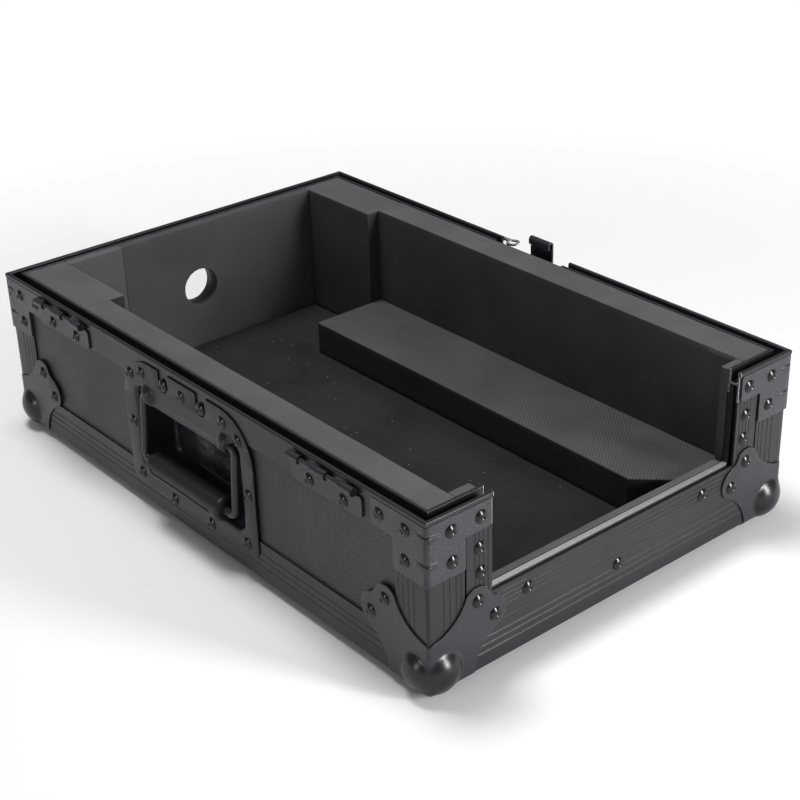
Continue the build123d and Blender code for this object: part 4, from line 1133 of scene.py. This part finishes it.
@dataclass
class HandleGrip:
    """Moulded grip round the bail, with a parting groove."""

    radius: float = 9.0
    bore: float = 3.1
    half: float = 45.0
    end_round: float = 3.5
    end_steps: int = 5
    waist: float = 0.3
    groove_depth: float = 1.5
    groove_width: float = 1.3
    groove_half: float = 36.0
    groove_drop: float = 1.6
    segments: int = 120
    rings: int = 130
    sharp: float = 55.0

    def build(self, material: Material) -> Object:
        """Make the grip where its solid is.

        Args:
            material: its finish.

        Returns:
            The new piece.
        """
        low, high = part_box("handle_grip")
        mesh = bmesh.new()
        verts = [mesh.verts.new((radius * MM, along * MM, 0.0)) for radius, along in self._profile()]
        for pair in zip(verts, verts[1:]):
            mesh.edges.new(pair)
        bmesh.ops.spin(mesh, geom=mesh.verts[:] + mesh.edges[:], cent=(0, 0, 0), axis=(0, 1, 0),
                       angle=math.tau, steps=self.segments, use_merge=True, dvec=(0, 0, 0))
        bmesh.ops.remove_doubles(mesh, verts=mesh.verts[:], dist=MERGE)
        for vert in mesh.verts:
            share = 1 - self._groove(vert.co) * MM / max(math.hypot(vert.co.x, vert.co.z), MM)
            vert.co = Vector((vert.co.x * share, vert.co.y, vert.co.z * share))
        bmesh.ops.translate(mesh, verts=mesh.verts[:], vec=(low + high) / 2)
        bmesh.ops.recalc_face_normals(mesh, faces=mesh.faces[:])
        made = make_object("handle_moulded_grip", mesh, [material], self.sharp, "handle")
        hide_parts("handle_grip")
        return made

    def _profile(self) -> list[Pair]:
        """Radius and place of each ring, from the bore at one end to the bore at the other.

        Returns:
            A pair for each ring.
        """
        end = [(self.bore, -self.half), (self.radius - self.end_round, -self.half)]
        end += [(self.radius - self.end_round * (1 - sine), -self.half + self.end_round * (1 - cosine))
                for sine, cosine in quarter_turn(self.end_steps)]
        straight = self.half - self.end_round
        places = [-straight + 2 * straight * step / self.rings for step in range(1, self.rings)]
        waist = [(self.radius - self.waist * math.cos(along / straight * math.pi / 2) ** 2, along)
                 for along in places]
        return end + waist + [(radius, -along) for radius, along in reversed(end)]

    def _groove(self, place: Vector) -> float:
        """Depth of the parting groove at this place, which is in metres.

        Args:
            place: a point of the plain grip.

        Returns:
            The depth in millimetres.
        """
        along = place.y / MM
        turned = math.atan2(place.z, -place.x) * self.radius
        run = abs(turned + self.groove_drop) if abs(along) < self.groove_half else math.inf
        end = abs(along - self.groove_half) if abs(turned) < self.groove_drop else math.inf
        return self.groove_depth * max(0.0, 1 - (min(run, end) / self.groove_width) ** 2)


@dataclass
class Rivets:
    """Domed rivet heads, one on each of the solids' heads."""

    head: float = 9.4
    rise: float = 2.1
    rim: float = 0.35
    sunk: float = 0.05
    dimple: float = 1.5
    dimple_depth: float = 0.9
    steps: int = 8
    segments: int = 24
    sharp: float = 40.0
    outward: dict[str, tuple[int, int, int]] = field(default_factory=lambda: {
        "rivets_front": (0, -1, 0), "rivets_right": (1, 0, 0), "rivets_rear": (0, 1, 0),
        "rivets_left": (-1, 0, 0), "rivets_bottom": (0, 0, -1),
    })

    def build(self, material: Material) -> None:
        """Make the heads of every wall as one piece a wall.

        Args:
            material: their finish.
        """
        for node, heading in self.outward.items():
            mesh = bmesh.new()
            outward = Vector(heading)
            turn = outward.to_track_quat("Z", "Y").to_matrix().to_4x4()
            for place in self._tops(node, outward):
                self._head(mesh, Matrix.Translation(place - outward * self.rise * MM) @ turn)
            bmesh.ops.remove_doubles(mesh, verts=mesh.verts[:], dist=MERGE)
            bmesh.ops.recalc_face_normals(mesh, faces=mesh.faces[:])
            made = make_object("domed_" + node, mesh, [material], self.sharp)
            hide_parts(node)

    def _tops(self, node: str, outward: Vector) -> list[Vector]:
        """Find the top of each head of a node.

        Args:
            node: CAD node with the rivets of one wall.
            outward: the way that its heads face.

        Returns:
            The middle of the top of each head.
        """
        mesh = copy_of_node(node)
        left = set(mesh.verts)
        tops = []
        while left:
            part, edge = set(), {left.pop()}
            while edge:
                part |= edge
                edge = {link.other_vert(vert) for vert in edge for link in vert.link_edges} - part
            left -= part
            spans = list(zip(*(vert.co for vert in part)))
            middle = (Vector([min(span) for span in spans]) + Vector([max(span) for span in spans])) / 2
            reach = max(outward.dot(vert.co) for vert in part)
            tops.append(middle + outward * (reach - outward.dot(middle)))
        mesh.free()
        return tops

    def _head(self, mesh: BMesh, place: Matrix) -> None:
        """Spin one head into the mesh at a place.

        Args:
            mesh: mesh that gets the head.
            place: middle of its base, and the way that it faces.
        """
        half = self.head / 2
        dome = self.rise - self.rim
        radius = (half * half + dome * dome) / (2 * dome)
        widest = math.asin(half / radius)
        profile = [(half, -self.sunk), (half, self.rim)]
        for step in range(1, self.steps + 1):
            angle = widest * (1 - step / self.steps)
            across = radius * math.sin(angle)
            drop = self.dimple_depth * max(0.0, 1 - (across / self.dimple) ** 2) ** 0.5
            profile.append((across, self.rise - radius * (1 - math.cos(angle)) - drop))
        verts = [mesh.verts.new(place @ (Vector((across, 0, up)) * MM)) for across, up in profile]
        edges = [mesh.edges.new(pair) for pair in zip(verts, verts[1:])]
        bmesh.ops.spin(mesh, geom=verts + edges, cent=place.translation,
                       axis=place.to_3x3() @ Vector((0, 0, 1)), angle=math.tau, steps=self.segments,
                       use_merge=True, dvec=(0, 0, 0))


# Scene

@dataclass(frozen=True)
class Lamp:
    """One soft box that faces the case; its place and size are metres and its power is watts."""

    name: str
    place: Triple
    size: Pair
    power: float

    def add(self, target: Triple) -> None:
        """Add the lamp to the scene.

        Args:
            target: the place that it faces, in metres.
        """
        data = bpy.data.lights.new(self.name, "AREA")
        data.shape = "RECTANGLE"
        data.size, data.size_y = self.size
        data.energy = self.power
        lamp = add_object(self.name, data)
        lamp.location = self.place
        lamp.rotation_euler = (Vector(target) - Vector(self.place)).to_track_quat("-Z", "Y").to_euler()


@dataclass
class Studio:
    """Pale floor, soft lamps and the camera of the photograph; floor and shadow lengths are metres."""

    focal_px: float = 1648.89
    frame_px: float = 800.0
    sensor: float = 36.0
    clip_start: float = 0.02
    place: Triple = (-682.9, -861.3, 631.57)
    azimuth: float = 39.33
    elevation: float = 27.67
    roll: float = -1.72
    lamps: tuple[Lamp, ...] = (Lamp("top_box", (-0.15, 0.25, 1.7), (0.6, 0.6), 20.0),
                               Lamp("front_box", (0.5, -1.6, 0.5), (0.3, 0.75), 27.0),
                               Lamp("side_box", (-2.2, 0.1, 0.5), (0.3, 0.6), 5.0))
    lit_point: Triple = (0.0, 0.0, 0.06)
    floor_half: float = 60.0
    floor_colour: tuple[float, float, float, float] = (0.93, 0.93, 0.93, 1.0)
    floor_roughness: float = 0.9
    world_level: float = 0.22
    shadow_near: float = 0.3
    shadow_far: float = 0.85

    def camera(self) -> None:
        """Place the camera at the photograph's viewpoint."""
        turn, tilt, roll = (math.radians(angle) for angle in (self.azimuth, self.elevation, self.roll))
        ahead = Vector((math.sin(turn) * math.cos(tilt), math.cos(turn) * math.cos(tilt), -math.sin(tilt)))
        right = Vector((math.cos(turn), -math.sin(turn), 0.0))
        up = right.cross(ahead)
        right, up = right * math.cos(roll) + up * math.sin(roll), up * math.cos(roll) - right * math.sin(roll)
        data = bpy.data.cameras.new("camera")
        data.sensor_width = self.sensor
        data.lens = self.focal_px / self.frame_px * self.sensor
        data.clip_start = self.clip_start
        camera = add_object("camera", data)
        turned = Matrix((right, up, -ahead)).transposed().to_4x4()
        camera.matrix_world = Matrix.Translation(Vector(self.place) * MM) @ turned
        bpy.context.scene.camera = camera

    def lights(self) -> None:
        """Add the lamps and the world."""
        for lamp in self.lamps:
            lamp.add(self.lit_point)
        world = bpy.data.worlds.new("studio")
        graph = clear_graph(world)
        sky = graph.node("ShaderNodeBackground", {"Color": WHITE, "Strength": self.world_level})
        graph.node("ShaderNodeOutputWorld", {"Surface": sky.outputs[0]})
        bpy.context.scene.world = world
        bpy.context.scene.view_settings.view_transform = "Standard"

    def floor(self) -> None:
        """Lay the pale floor, which glows white away from the case where it is seen."""
        material = bpy.data.materials.new("pale_floor")
        graph = clear_graph(material)
        matt = graph.node("ShaderNodeBsdfPrincipled", {"Base Color": self.floor_colour,
                                                       "Roughness": self.floor_roughness,
                                                       "Specular IOR Level": 0.0})
        glow = graph.node("ShaderNodeEmission", {"Color": WHITE, "Strength": 1.0})
        path = graph.node("ShaderNodeLightPath").outputs
        seen = graph.math("MAXIMUM", path["Is Camera Ray"], path["Is Glossy Ray"])
        seen = graph.math("MAXIMUM", seen, path["Is Transmission Ray"])
        where = graph.node("ShaderNodeTexCoord").outputs["Object"]
        away = graph.node("ShaderNodeVectorMath", {0: where}, operation="LENGTH").outputs["Value"]
        share = graph.math("MULTIPLY", seen, graph.ramp(away, self.shadow_near, self.shadow_far))
        mixed = graph.node("ShaderNodeMixShader", {0: share, 1: matt.outputs[0], 2: glow.outputs[0]})
        graph.node("ShaderNodeOutputMaterial", {"Surface": mixed.outputs[0]})
        mesh = bmesh.new()
        bmesh.ops.create_grid(mesh, x_segments=1, y_segments=1, size=self.floor_half)
        data = bpy.data.meshes.new("floor")
        mesh.to_mesh(data)
        mesh.free()
        data.materials.append(material)
        add_object("floor", data)


@dataclass
class CaseBase:
    """The whole case base: carried-over solids with finishes, and the pieces made here."""

    palette: Palette = field(default_factory=Palette)
    special: dict[str, str] = field(default_factory=lambda: {
        "rim_front_left": "cut_profile", "rim_front_right": "cut_profile",
        **{"bottom_angle_" + wall: "ridged_profile" for wall in ("left", "right", "rear", "front")},
        **{"corner_angle_" + side.name.lower(): "corner_profile" for side in Side},
        **{"corner_bracket_" + side.name.lower(): "bracket" for side in Side},
    })
    by_slot: dict[str, str] = field(default_factory=lambda: {
        "laminate": "laminate", "anodised": "anodised", "black_steel": "steel", "rivet_black": "rivet",
        "bare_aluminium": "bare_aluminium", "bare_steel": "bare_steel", "foam": "foam",
        "foam_floor": "foam_floor", "grip": "grip",
    })

    def build(self) -> None:
        """Dress the solids and make the other pieces."""
        effects = Effects()
        materials = {item.name: getattr(self.palette, item.name).material(effects)
                     for item in fields(self.palette)}
        LOG.info("finishes made: %d", len(materials))
        for row in frame["record"]["subparts"]:
            node = row["node"]
            finish = self.special.get(node, self.by_slot[row["material_slot"]])
            for slot in frame["nodes"][node].material_slots:
                slot.material = materials[finish]
        LOG.info("solids dressed: %d", len(frame["nodes"]))
        FoamLining().build(materials)
        LOG.info("foam lining made")
        BallCorner().build(materials["steel"], materials["ball"])
        LOG.info("ball corners made")
        Rivets().build(materials["rivet"])
        LOG.info("rivets made")
        HandleDish().build(materials["plate"], materials["dish"])
        HandleGrip().build(materials["grip"])
        LOG.info("handle dish and grip made")


def corners(box: tuple[Vector, Vector]) -> list[list[float]]:
    """Return a box as plain lists of numbers."""
    return [list(corner) for corner in box]


def main() -> None:
    """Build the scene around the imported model."""
    logging.basicConfig(level=logging.INFO, format="%(message)s")
    studio = Studio()
    studio.camera()
    studio.lights()
    studio.floor()
    CaseBase().build()
    LOG.info("scene ready")


if __name__ == "__main__":
    main()
